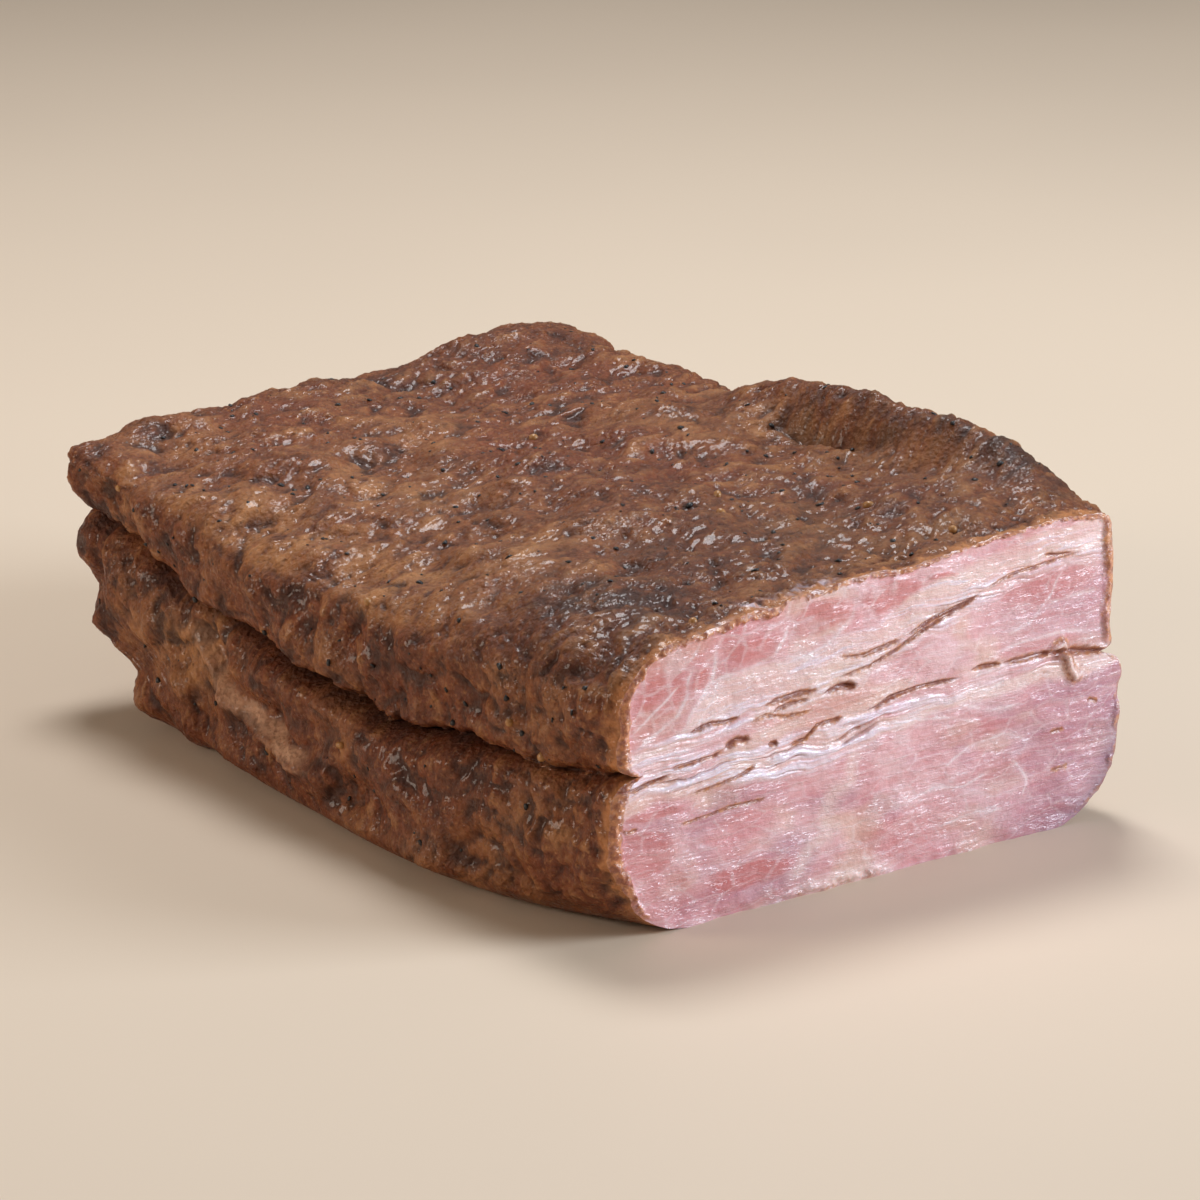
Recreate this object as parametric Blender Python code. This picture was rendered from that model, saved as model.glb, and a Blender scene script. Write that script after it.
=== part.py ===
"""A piece of cooked beef brisket, whole but for the one end that a knife has cut off square.

Metres, +Z up. The piece lies on its flat underside. Its length runs along X, with the cut face at +X,
and its width along Y. It is one solid: a block sliced into rows and columns, whose every corner is
moved by the functions below to the form of the meat. Its two muscles, the point above and the flat
below, stay one body, and a furrow runs round the sides where they meet.

A corner's place in the unit block is its share of the length, from the cut face, of the width, from
the near side, and of the height, from the underside. Below, near means -Y and far means +Y.
"""

import math

import bmesh
import bpy
import numpy as np
from mathutils import Matrix, Vector

MM = 0.001

# Driving dimensions, in millimetres
LENGTH = 209.0  # cut face to back end
WIDTH = 135.0  # across the cut face
HEIGHT = 67.0  # underside to top, in the middle
CUT_X = 91.0  # where the cut face stands before the piece is centred
MIDDLE = (-14.46, -7.44)  # the finished piece's middle along and across, which becomes its origin

# Shares of the height's rows that lie under the two seams
SEAM_ROW = 0.46
FAT_ROW = 0.62

# How finely the block is sliced
SLICES_ALONG = 48
SLICES_ACROSS = 30
SLICES_AT_GASH = (0.848, 0.860, 0.872, 0.885)
ROWS_UNDER_SEAM = (0.02, 0.05, 0.09, 0.14, 0.20, 0.27, 0.34, 0.40)
ROWS_BETWEEN_SEAMS = (0.035, 0.08, 0.125)
ROWS_OVER_FAT = (0.03, 0.07, 0.12, 0.18, 0.25, 0.32)

# Radii of the round edges at stations along the piece, measured from the cut face
EDGE_STATIONS = (0, 12, 30, 60, 150, 209)
RADIUS_TOP_NEAR = (15, 13, 11, 10, 9, 7)
RADIUS_TOP_FAR = (10, 9, 9, 9, 9, 8)
RADIUS_FOOT_NEAR = (21, 16, 10, 7, 7, 8)
RADIUS_FOOT_FAR = (17, 15, 12, 10, 10, 10)

# Where the sides stand, for the point above the furrow and the flat under it
SIDE_STATIONS = (0, 10, 30, 55, 78, 95, 115, 140, 155, 166, 182, 209)
NEAR_SIDE_UPPER = (-71.5, -73, -75, -76.5, -77, -77, -77, -77, -77, -77, -77, -77)
NEAR_SIDE_LOWER = (-74, -76, -79.5, -82, -82, -81, -80.5, -78, -77, -79, -78, -77)
FAR_SIDE_UPPER = (59, 61, 63, 65, 66, 66, 65, 64, 63, 63, 63, 64)
FAR_SIDE_LOWER = (61.5, 62, 63, 65, 65, 66, 67, 66, 65, 64, 63, 62)

# Height of the top at its near edge, in its middle and at its far edge
TOP_STATIONS = (0, 20, 45, 90, 135, 175, 209)
TOP_NEAR = (57.5, 56.0, 54.0, 52.5, 53.0, 57.0, 59.5)
TOP_MIDDLE = (66.5, 66.0, 65.5, 64.5, 63.5, 63.0, 62.5)
TOP_FAR = (69.3, 69.0, 68.5, 67.5, 67.5, 68.0, 69.5)
MIDDLE_ACROSS = 0.55

# Height of the furrow between point and flat, which is the lower seam on the cut face
FURROW_STATIONS = (0, 14, 45, 73, 95, 130, 150, 170, 185, 209)
FURROW_NEAR = (35.0, 32.5, 31.5, 28.0, 30.0, 32.5, 34.5, 38.5, 42.0, 45.0)
FURROW_FAR = (37.5, 37, 37, 38, 38.5, 39, 39, 39.5, 40, 40)
FURROW_DEPTH_NEAR = (6.5, 3.5, 8.0, 8.0, 9.5, 10, 10, 8, 5, 3.5)
FURROW_DEPTH_FAR = 5.0
FURROW_REACH_OVER, FURROW_REACH_UNDER = 1.6, 2.8  # the lip over it is sharper than the shoulder under it
FURROW_RISE = 0.12  # the furrow slopes up under the point by this share of its depth
SEAM_SAG = 5.0

# Height of the upper seam, the fat between point and middle, over the lower one
FAT_OVER_SEAM_NEAR = 4.0
FAT_OVER_SEAM_FAR = 20.5
FAT_ACROSS = (0.0, 0.2, 0.5, 0.8, 1.0)
FAT_SHARE = (0.0, 0.10, 0.42, 0.83, 1.0)

# The back end: how much shorter the piece is than its length, at heights of its near corner
END_HEIGHTS = (0, 8, 15, 18, 22, 28, 36, 44, 52, 66)
END_SHORT_NEAR = (32, 32, 30, 23, 16, 11.5, 9, 8.5, 3, 0)
END_SHORT_FAR = 7.0
END_REACH = 80.0

# The raised roll along the far edge of the top, and the gash in front of it
ROLL_HEIGHT = 10.0
ROLL_Y = 57.0
ROLL_HALF_WIDTH = 8.0
ROLL_X = (-42.0, -4.0, 40.0, 88.0)  # where it starts, is full, is full, and ends
GASH_DEPTH = 3.2
GASH_Y = 47.0
GASH_TURN = 0.08  # how far it drifts to the far side for each step to the cut face
GASH_HALF_WIDTH = 1.7
GASH_X = (-11.0, -2.0, 10.0, 40.0)

# The fat fold low on the near side: its line in x and height, its valley and its lip
FOLD_X = (-62, -56, -51, -46, -39, -25, -10, -4)
FOLD_Z = (28, 24.5, 21, 18, 16.3, 13.8, 11.6, 12.3)
FOLD_VALLEY, FOLD_LIP = 2.2, 1.4

# Lobes and hollows at the back end's near corner: (place, reach, height), hollows below 0
KNOBS = (
    ((-112, -62, 35), (16, 20, 10), 2.5),
    ((-100, -78, 32), (4, 9, 13), -3.5),
    ((-97, -72, 18), (12, 14, 6), 2.5),
    ((-83, -78, 8), (8, 10, 9), 3.0),
    ((-113, -66, 48), (10, 16, 4), -2.0),
)

# Depths on the cut face: the two seams, and holes torn open along them (y, z, reaches, depth)
SEAM_DEPTH = 1.5
SEAM_HALF_WIDTH = 1.1
HOLES = (
    ((-13.5, 43.0), (4.0, 1.6), 2.8),
    ((-41.0, 36.3), (3.5, 1.5), 1.8),
    ((-1.5, 38.5), (7.0, 1.6), 2.2),
)

# Soft lumps of the surface: wavelength, height, number of waves and seed
BROAD_LUMPS = (44.0, 0.9, 9, 11)
SMALL_LUMPS = (15.0, 0.45, 16, 5)
SIDE_LUMPS = (19.0, 0.8, 12, 21)


def ease(low, high, at):
    """0 before low, 1 after high, and an S curve between them."""
    share = np.clip((at - low) / (high - low), 0.0, 1.0)
    return share * share * (3.0 - 2.0 * share)


def bell(at, half_width):
    """1 at 0, falling as a bell."""
    return np.exp(-((at / half_width) ** 2))


def plateau(at, start, full, full_end, end):
    """Rises from start to full, stays 1 until full_end, and falls to 0 at end."""
    return ease(start, full, at) * ease(end, full_end, at)


def through(at, stations, values):
    """A smooth curve through the values at the stations, read at each number of at."""
    stations, values = np.asarray(stations, float), np.asarray(values, float)
    slopes = np.gradient(values, stations)
    index = np.clip(np.searchsorted(stations, at) - 1, 0, len(stations) - 2)
    step = stations[index + 1] - stations[index]
    share = np.clip((at - stations[index]) / step, 0.0, 1.0)
    start, end = values[index], values[index + 1]
    square, cube = share**2, share**3
    return (
        start * (2 * cube - 3 * square + 1)
        + slopes[index] * step * (cube - 2 * square + share)
        + end * (3 * square - 2 * cube)
        + slopes[index + 1] * step * (cube - square)
    )


def lumps(points, wavelength, height, waves, seed):
    """Soft lumps: a sum of sine waves in seeded random directions, each near the given wavelength."""
    draw = np.random.default_rng(seed)
    total = np.zeros(len(points))
    for _ in range(waves):
        direction = draw.normal(size=3)
        direction /= np.linalg.norm(direction)
        length = wavelength * draw.uniform(0.7, 1.4)
        total += np.sin(points @ direction * (2 * math.pi / length) + draw.uniform(0, 2 * math.pi))
    return total * height * math.sqrt(2.0 / waves)


def edge_radius(along, across, row):
    """The round edges' radius: each of the four long edges has its own, which shades into the others."""
    far = ease(0.3, 0.7, across)
    upper = ease(SEAM_ROW - 0.08, SEAM_ROW + 0.08, row)
    top_near = through(along, EDGE_STATIONS, RADIUS_TOP_NEAR)
    top_far = through(along, EDGE_STATIONS, RADIUS_TOP_FAR)
    foot_near = through(along, EDGE_STATIONS, RADIUS_FOOT_NEAR)
    foot_far = through(along, EDGE_STATIONS, RADIUS_FOOT_FAR)
    top = top_near + (top_far - top_near) * far
    foot = foot_near + (foot_far - foot_near) * far
    return foot + (top - foot) * upper


def rounded_block(share, inside=False):
    """Places points of the unit block on a block with round edges, and gives the way each faces.

    A point near an edge is pulled back to an inner block and pushed out again by the edge's radius.
    The cut end, at 0 along, keeps its sharp edge. A point inside the cut face is pushed out only as
    far as it lay from the inner block.
    """
    size = np.array([LENGTH, WIDTH, HEIGHT])
    point = share * size
    radius = edge_radius(point[:, 0], share[:, 1], share[:, 2])
    low = np.stack([np.full(len(point), -1.0), radius, radius], 1)
    inner = np.clip(point, low, size - radius[:, None])
    out = point - inner
    facing = out / np.maximum(np.linalg.norm(out, axis=1), 1e-9)[:, None]
    reach = np.abs(out).max(1) if inside else radius
    return inner + facing * reach[:, None], facing


def top_height(along, across):
    """Height of the top: it rises from the near edge to the middle, and a little more to the far edge."""
    near = through(along, TOP_STATIONS, TOP_NEAR)
    middle = through(along, TOP_STATIONS, TOP_MIDDLE)
    far = through(along, TOP_STATIONS, TOP_FAR)
    crown = 1.0 - (1.0 - np.clip(across / MIDDLE_ACROSS, 0.0, 1.0)) ** 1.8
    return near + (middle - near) * crown + (far - middle) * ease(MIDDLE_ACROSS, 0.95, across)


def seam_height(along, across):
    """Height of the lower seam, which sags in the middle of the cut face."""
    near = through(along, FURROW_STATIONS, FURROW_NEAR)
    far = through(along, FURROW_STATIONS, FURROW_FAR)
    sag = SEAM_SAG * bell(across - 0.33, 0.22) * ease(60.0, 0.0, along)
    return near + (far - near) * across - sag


def fat_height(along, across):
    """Height of the upper seam: it leaves the lower one at the near side and climbs to the far top."""
    climb = FAT_OVER_SEAM_NEAR + (FAT_OVER_SEAM_FAR - FAT_OVER_SEAM_NEAR) * through(across, FAT_ACROSS, FAT_SHARE)
    return seam_height(along, across) + climb


def sides(along, row):
    """Where the near and the far side stand at a row."""
    upper = ease(SEAM_ROW - 0.04, SEAM_ROW + 0.04, row)
    near_low = through(along, SIDE_STATIONS, NEAR_SIDE_LOWER)
    near_up = through(along, SIDE_STATIONS, NEAR_SIDE_UPPER)
    far_low = through(along, SIDE_STATIONS, FAR_SIDE_LOWER)
    far_up = through(along, SIDE_STATIONS, FAR_SIDE_UPPER)
    return near_low + (near_up - near_low) * upper, far_low + (far_up - far_low) * upper


def row_height(along, across, row):
    """Height of a row: 0, the two seams and the top, with even steps between them."""
    seam = seam_height(along, across)
    fat = fat_height(along, across)
    top = top_height(along, across)
    flat = seam * row / SEAM_ROW
    middle = seam + (fat - seam) * (row - SEAM_ROW) / (FAT_ROW - SEAM_ROW)
    point = fat + (top - fat) * (row - FAT_ROW) / (1.0 - FAT_ROW)
    return np.where(row < SEAM_ROW, flat, np.where(row < FAT_ROW, middle, point))


def end_shortening(along, across, height):
    """How far the back end draws in: the flat is undercut, most at the near corner."""
    near = through(height, END_HEIGHTS, END_SHORT_NEAR)
    far = END_SHORT_FAR * ease(50.0, 20.0, height)
    short = near + (far - near) * ease(0.0, 0.6, across)
    return short * ease(LENGTH - END_REACH, LENGTH, along)


def furrow_push(point, outward, along, across, seam):
    """The furrow round the sides: a narrow valley that slopes up under the point."""
    upright = ease(0.75, 0.25, np.abs(outward[:, 2])) * ease(0.9, 0.3, outward[:, 0])
    depth_near = through(along, FURROW_STATIONS, FURROW_DEPTH_NEAR)
    depth = depth_near + (FURROW_DEPTH_FAR - depth_near) * ease(0.2, 0.8, across)
    over = point[:, 2] - seam
    reach = np.where(over > 0.0, FURROW_REACH_OVER, FURROW_REACH_UNDER)
    valley = depth * np.exp(-np.abs(over) / reach) * upright
    push = valley[:, None] * -outward
    push[:, 2] = valley * FURROW_RISE
    return push


def fold_height(point, outward):
    """The fat fold on the near side: a valley over its line and a lip under it."""
    line = through(point[:, 0], FOLD_X, FOLD_Z)
    over = point[:, 2] - line
    shape = FOLD_LIP * bell(over + 0.5, 2.0) - FOLD_VALLEY * bell(over - 3.5, 2.6)
    ends = plateau(point[:, 0], FOLD_X[0] - 3, FOLD_X[0] + 8, FOLD_X[-1] - 8, FOLD_X[-1] + 6)
    return shape * ends * ease(0.4, 0.9, -outward[:, 1])


def top_relief(point, outward):
    """The roll along the far edge of the top, less the gash in front of it."""
    x, y = point[:, 0], point[:, 1]
    roll = ROLL_HEIGHT * bell(y - ROLL_Y, ROLL_HALF_WIDTH) * plateau(x, *ROLL_X)
    gash = GASH_DEPTH * bell(y - GASH_Y - GASH_TURN * x, GASH_HALF_WIDTH) * plateau(x, *GASH_X)
    return (roll - gash) * ease(0.0, 0.6, outward[:, 2])


def knob_height(point):
    """Lobes and hollows, each a bell round its place."""
    total = np.zeros(len(point))
    for place, reach, height in KNOBS:
        total += height * np.exp(-((((point - place) / reach) ** 2).sum(1)))
    return total


def cut_depth(point, along, across):
    """How far the cut face lies back: along the two seams and in the holes torn open on them."""
    y, z = point[:, 1], point[:, 2]
    depth = SEAM_DEPTH * bell(z - seam_height(along, across), SEAM_HALF_WIDTH)
    depth = np.maximum(depth, SEAM_DEPTH * bell(z - fat_height(along, across), SEAM_HALF_WIDTH))
    for (at_y, at_z), (reach_y, reach_z), deep in HOLES:
        depth = np.maximum(depth, deep * bell(y - at_y, reach_y) * bell(z - at_z, reach_z))
    return depth * plateau(across, 0.02, 0.10, 0.90, 0.99)


def stretched(placed):
    """Stretches the round-edged block between the sides, underside, seams and top, in millimetres."""
    along, across, row = placed[:, 0], placed[:, 1] / WIDTH, placed[:, 2] / HEIGHT
    near, far = sides(along, row)
    height = row_height(along, across, row)
    x = CUT_X - along + end_shortening(along, across, height)
    return np.stack([x, near + (far - near) * across, height], 1), along, across


def crust(share):
    """The browned outside: where each point of it lies before and after the relief is pushed in or out."""
    placed, facing = rounded_block(share)
    outward = facing * np.array([-1.0, 1.0, 1.0])
    point, along, across = stretched(placed)
    height = point[:, 2]
    steep = ease(0.8, 0.2, np.abs(outward[:, 2]))
    soft = lumps(point, *BROAD_LUMPS) + lumps(point, *SMALL_LUMPS) + steep * lumps(point, *SIDE_LUMPS)
    soft = soft * (0.4 + 0.6 * ease(0.0, 12.0, along)) * ease(0.5, 7.0, height)
    soft += (fold_height(point, outward) + knob_height(point)) * ease(0.5, 5.0, height)
    moved = point + furrow_push(point, outward, along, across, seam_height(along, across))
    moved += outward * soft[:, None]
    moved[:, 2] += top_relief(point, outward)
    moved[:, 2] = np.where(height < 0.05, 0.0, np.maximum(moved[:, 2], 0.0))
    return point, moved


def rim_pull(share, moved_to):
    """How the relief moves the rim where these points reach it, with some of their shares set to its own."""
    rim = share.copy()
    for axis, place in moved_to.items():
        rim[:, axis] = place
    before, after = crust(rim)
    return after - before


def cut_face(share):
    """The cut face: flat but for its seams and holes, and drawn along by the relief of its rim.

    The pull of the near and far edge fades with the way across, that of the underside and top with the
    way up, and where two of them meet the corner's own is taken off once.
    """
    placed, _ = rounded_block(share, inside=True)
    point, along, across = stretched(placed)
    pull = np.zeros_like(point)
    for side in (0.0, 1.0):
        beside = ease(0.3, 0.0, np.abs(share[:, 1] - side))
        over = ease(0.3, 0.0, np.abs(share[:, 2] - side))
        pull += rim_pull(share, {1: side}) * beside[:, None]
        pull += rim_pull(share, {2: side}) * over[:, None]
        for level in (0.0, 1.0):
            corner = beside * ease(0.3, 0.0, np.abs(share[:, 2] - level))
            pull -= rim_pull(share, {1: side, 2: level}) * corner[:, None]
    point += pull
    point[:, 0] = CUT_X - cut_depth(point, along, across)
    return point


def surface(share):
    """Every point of the finished surface, in metres, for points of the unit block's surface."""
    inside = (share[:, 0] < 1e-6) & (np.abs(share[:, 1:] - 0.5).max(1) < 0.5 - 1e-6)
    moved = crust(share)[1]
    moved[inside] = cut_face(share[inside])
    return (moved - np.array([*MIDDLE, 0.0])) * MM


def sliced_block():
    """A unit block, sliced into the rows and columns that carry the form."""
    made = bmesh.new()
    bmesh.ops.create_cube(made, size=1.0, matrix=Matrix.Translation((0.5, 0.5, 0.5)))
    along = [i / SLICES_ALONG for i in range(1, SLICES_ALONG)]
    across = [i / SLICES_ACROSS for i in range(1, SLICES_ACROSS)]
    across = [cut for cut in across if not SLICES_AT_GASH[0] - 0.02 < cut < SLICES_AT_GASH[-1] + 0.02]
    across += SLICES_AT_GASH
    rows = [SEAM_ROW - gap for gap in ROWS_UNDER_SEAM]
    rows += [SEAM_ROW] + [SEAM_ROW + gap for gap in ROWS_BETWEEN_SEAMS]
    rows += [FAT_ROW] + [FAT_ROW + gap for gap in ROWS_OVER_FAT]
    for axis, cuts in enumerate((along, across, rows)):
        normal = Vector([float(axis == i) for i in range(3)])
        for cut in cuts:
            everything = made.verts[:] + made.edges[:] + made.faces[:]
            bmesh.ops.bisect_plane(made, geom=everything, dist=1e-6, plane_co=normal * cut, plane_no=normal)
    return made


def flatten_underside(made):
    """The flat part of the underside becomes one face."""
    flat = [face for face in made.faces if all(corner.co.z == 0.0 for corner in face.verts)]
    bmesh.ops.dissolve_faces(made, faces=flat, use_verts=True)


def meat_material():
    """The browned outside, which stands for the whole in a plain view."""
    material = bpy.data.materials.new("browned_meat")
    material.use_nodes = True
    shader = material.node_tree.nodes["Principled BSDF"]
    shader.inputs["Base Color"].default_value = (0.16, 0.07, 0.04, 1.0)
    shader.inputs["Roughness"].default_value = 0.45
    shader.inputs["Metallic"].default_value = 0.0
    return material


def brisket():
    made = sliced_block()
    corners = made.verts[:]
    places = surface(np.array([corner.co for corner in corners]))
    for corner, place in zip(corners, places):
        corner.co = place
    # along runs towards -X, which has turned every face inwards
    bmesh.ops.reverse_faces(made, faces=made.faces[:])
    flatten_underside(made)
    mesh = bpy.data.meshes.new("brisket")
    made.to_mesh(mesh)
    made.free()
    mesh.materials.append(meat_material())
    mesh.shade_smooth()
    mesh.set_sharp_from_angle(angle=math.radians(50.0))
    return bpy.data.objects.new("brisket", mesh)


def main():
    for old in list(bpy.data.objects):
        bpy.data.objects.remove(old)
    bpy.context.scene.collection.objects.link(brisket())


main()
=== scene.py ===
"""The looks of a piece of cooked brisket: its crust, its cut face, the spices on it and a plain studio.

Metres, +Z up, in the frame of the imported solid. Lengths named in millimetres are turned to metres as
the last step of each shape. The cut face looks along +X, near means -Y and far means +Y. A place on
the piece is first given as shares of a block: of its length from the cut face, of its width from the
near side and of its height from the underside.
"""

import math
from itertools import product

import bpy
import numpy as np
from bpy.props import FloatProperty, FloatVectorProperty, IntProperty, PointerProperty
from bpy.types import Operator, Panel, PropertyGroup
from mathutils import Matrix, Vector


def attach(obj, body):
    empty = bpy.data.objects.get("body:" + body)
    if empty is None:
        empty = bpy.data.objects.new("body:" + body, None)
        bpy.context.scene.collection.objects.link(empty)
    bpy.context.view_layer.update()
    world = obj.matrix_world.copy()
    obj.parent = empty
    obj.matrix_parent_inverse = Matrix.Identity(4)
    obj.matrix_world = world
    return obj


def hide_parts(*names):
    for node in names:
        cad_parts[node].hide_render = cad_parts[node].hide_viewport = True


bl_info = {
    "name": "Cooked Brisket",
    "version": (1, 0, 0),
    "blender": (4, 5, 0),
    "location": "3D View > Sidebar > Brisket",
    "description": "Builds the crust, cut face, spices and studio of a piece of cooked brisket",
    "category": "Add Mesh",
}

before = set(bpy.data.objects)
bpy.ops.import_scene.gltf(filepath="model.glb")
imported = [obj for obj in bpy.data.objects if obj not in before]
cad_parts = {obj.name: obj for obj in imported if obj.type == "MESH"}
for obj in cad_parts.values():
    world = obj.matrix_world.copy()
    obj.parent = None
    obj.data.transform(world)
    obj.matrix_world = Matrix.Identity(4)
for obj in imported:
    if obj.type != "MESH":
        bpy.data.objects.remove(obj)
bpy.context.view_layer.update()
NODE = "brisket"
BODY = "root"
MM = 0.001

# The form's driving dimensions, the same as the solid's, in millimetres
LENGTH = 209.0
WIDTH = 135.0
HEIGHT = 67.0
CUT_X = 91.0
MIDDLE = (-14.46, -7.44)
SEAM_ROW = 0.46
FAT_ROW = 0.62

EDGE_STATIONS = (0, 12, 30, 60, 150, 209)
RADIUS_TOP_NEAR = (15, 13, 11, 10, 9, 7)
RADIUS_TOP_FAR = (10, 9, 9, 9, 9, 8)
RADIUS_FOOT_NEAR = (21, 16, 10, 7, 7, 8)
RADIUS_FOOT_FAR = (17, 15, 12, 10, 10, 10)

SIDE_STATIONS = (0, 10, 30, 55, 78, 95, 115, 140, 155, 166, 182, 209)
NEAR_SIDE_UPPER = (-71.5, -73, -75, -76.5, -77, -77, -77, -77, -77, -77, -77, -77)
NEAR_SIDE_LOWER = (-74, -76, -79.5, -82, -82, -81, -80.5, -78, -77, -79, -78, -77)
FAR_SIDE_UPPER = (59, 61, 63, 65, 66, 66, 65, 64, 63, 63, 63, 64)
FAR_SIDE_LOWER = (61.5, 62, 63, 65, 65, 66, 67, 66, 65, 64, 63, 62)

TOP_STATIONS = (0, 20, 45, 90, 135, 175, 209)
TOP_NEAR = (57.5, 56.0, 54.0, 52.5, 53.0, 57.0, 59.5)
TOP_MIDDLE = (66.5, 66.0, 65.5, 64.5, 63.5, 63.0, 62.5)
TOP_FAR = (69.3, 69.0, 68.5, 67.5, 67.5, 68.0, 69.5)
MIDDLE_ACROSS = 0.55

FURROW_STATIONS = (0, 14, 45, 73, 95, 130, 150, 170, 185, 209)
FURROW_NEAR = (35.0, 32.5, 31.5, 28.0, 30.0, 32.5, 34.5, 38.5, 42.0, 45.0)
FURROW_FAR = (37.5, 37, 37, 38, 38.5, 39, 39, 39.5, 40, 40)
FURROW_DEPTH_NEAR = (6.5, 3.5, 8.0, 8.0, 9.5, 10, 10, 8, 5, 3.5)
FURROW_DEPTH_FAR = 5.0
FURROW_REACH_OVER, FURROW_REACH_UNDER = 1.1, 1.7
FURROW_RISE = 0.08
SEAM_SAG = 5.0

FAT_OVER_SEAM_NEAR = 4.0
FAT_OVER_SEAM_FAR = 20.5
FAT_ACROSS = (0.0, 0.2, 0.5, 0.8, 1.0)
FAT_SHARE = (0.0, 0.10, 0.42, 0.83, 1.0)

END_HEIGHTS = (0, 8, 15, 18, 22, 28, 36, 44, 52, 66)
END_SHORT_NEAR = (32, 32, 30, 23, 16, 11.5, 9, 8.5, 3, 0)
END_SHORT_FAR = 7.0
END_REACH = 80.0

ROLL_HEIGHT = 10.0
ROLL_Y = 57.0
ROLL_HALF_WIDTH = 8.0
ROLL_X = (-42.0, -4.0, 40.0, 88.0)
GASH_DEPTH = 3.2
GASH_Y = 47.0
GASH_TURN = 0.08
GASH_HALF_WIDTH = 1.7
GASH_X = (-11.0, -2.0, 10.0, 40.0)

FOLD_X = (-62, -56, -51, -46, -39, -25, -10, -4)
FOLD_Z = (28, 24.5, 21, 18, 16.3, 13.8, 11.6, 12.3)
FOLD_VALLEY, FOLD_LIP = 2.2, 1.4

KNOBS = (
    ((-112, -62, 35), (16, 20, 10), 2.5),
    ((-100, -78, 32), (4, 9, 13), -3.5),
    ((-97, -72, 18), (12, 14, 6), 2.5),
    ((-83, -78, 8), (8, 10, 9), 3.0),
    ((-113, -66, 48), (10, 16, 4), -2.0),
)

BROAD_LUMPS = (44.0, 0.9, 9, 11)
SMALL_LUMPS = (15.0, 0.45, 16, 5)
SIDE_LUMPS = (19.0, 0.8, 12, 21)

# How finely each face of the block is meshed
STEPS_ALONG = 400
STEPS_ACROSS = 240
STEPS_OVER_SEAM = 46
STEPS_UNDER_SEAM = 44
FINE_STEP, WIDE_STEP, FINE_STEPS = 0.18, 1.0, 12  # rows crowd together at the furrow
CUT_ROW_PARTS, CUT_COLUMN_PARTS = 4, 2  # steps of the cut face in each step of the crust
SOFTENED_ROWS, SOFTENED_COLUMNS = 30, 15  # steps of the cut's rim over which its moves are softened
BROAD_PULL, SHORT_PULL = (0.02, 0.3, 0.3), (0.02, 0.035, 0.035)  # share of the face that follows its rim
HIGHEST_FLAKE = 1.9
UNDERSIDE_RINGS = 16
UNDERSIDE_INNER = 0.62  # share of the underside, from its middle, that is one flat face

# The twelve ways from a cube's middle to the middles of its edges, for the noise
DIRECTIONS = np.array([way for way in product((-1, 0, 1), repeat=3) if np.abs(way).sum() == 2], float)

# The noise's lattice is turned by this, so that its planes line up with no side of the piece
LATTICE_TURN = np.array([(2, -1, 2), (2, 2, -1), (-1, 2, 2)], float) / 3.0
TEXTURE_TURN = (0.5, 0.6, 0.7)

# Seeds of the random draws
SEED_GRAIN = 41
SEED_COLOUR = 83
SEED_SPICE = 17
SEED_CUT = 59

# Patches of the top's colour, one tan patch of them painted light: (x, y), (reach along, reach across),
# strength
TAN_PATCHES = (
    ((-28, -62), (34, 12), 0.8),
    ((22, -58), (26, 16), 0.8),
    ((-20, -30), (30, 12), 0.6),
    ((40, -36), (18, 12), 0.6),
    ((-54, -4), (16, 10), 0.5),
    ((-84, -48), (22, 14), 0.45),
    ((-20, -69), (9, 4), 1.0),
    ((66, 14), (22, 12), 0.45),
    ((44, 52), (26, 8), 0.5),
    # Painted light: this tan patch lightens the roll's front face, which the lamps leave in shade
    ((14, 53), (20, 3.5), 0.8),
    ((-15, 38), (30, 10), 0.35),
    ((92, 20), (8, 30), 0.4),
)
RED_PATCHES = (
    ((-30, 6), (24, 14), 0.8),
    ((4, 14), (24, 14), 0.8),
    ((28, 26), (20, 12), 0.7),
    ((-60, 40), (30, 18), 0.8),
    ((-80, -30), (24, 30), 0.6),
    ((60, 34), (30, 12), 0.5),
)
DARK_PATCHES = (
    ((80, -44), (20, 15), 0.95),
    ((66, -18), (20, 8), 0.55),
    ((98, -62), (10, 14), 0.7),
    ((46, 30), (12, 7), 0.7),
    ((80, 66), (14, 9), 0.95),
    ((44, 62), (34, 6), 0.6),
    ((72, 8), (36, 50), 0.42),
    ((96, -8), (8, 30), 0.35),
    ((-92, 20), (18, 30), 0.35),
    ((16, 8), (20, 5), 0.3),
)

# Pale torn bits at the top's rim, partly painted glints where the wet rim catches the light: (x, y), (reach
# along, reach across), strength
PALE_BITS_AND_GLINTS = (
    ((102.5, -25.0), (3.5, 2.0), 1.0),
    ((101.0, -13.0), (3.0, 6.0), 0.7),
    ((104.0, -42.0), (1.5, 8.0), 0.5),
)

# The dark lump in the notch at the back end: its place and its reach
DARK_NOTCH = ((-114.0, -70.0, 41.0), (7.0, 12.0, 4.5))

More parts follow.
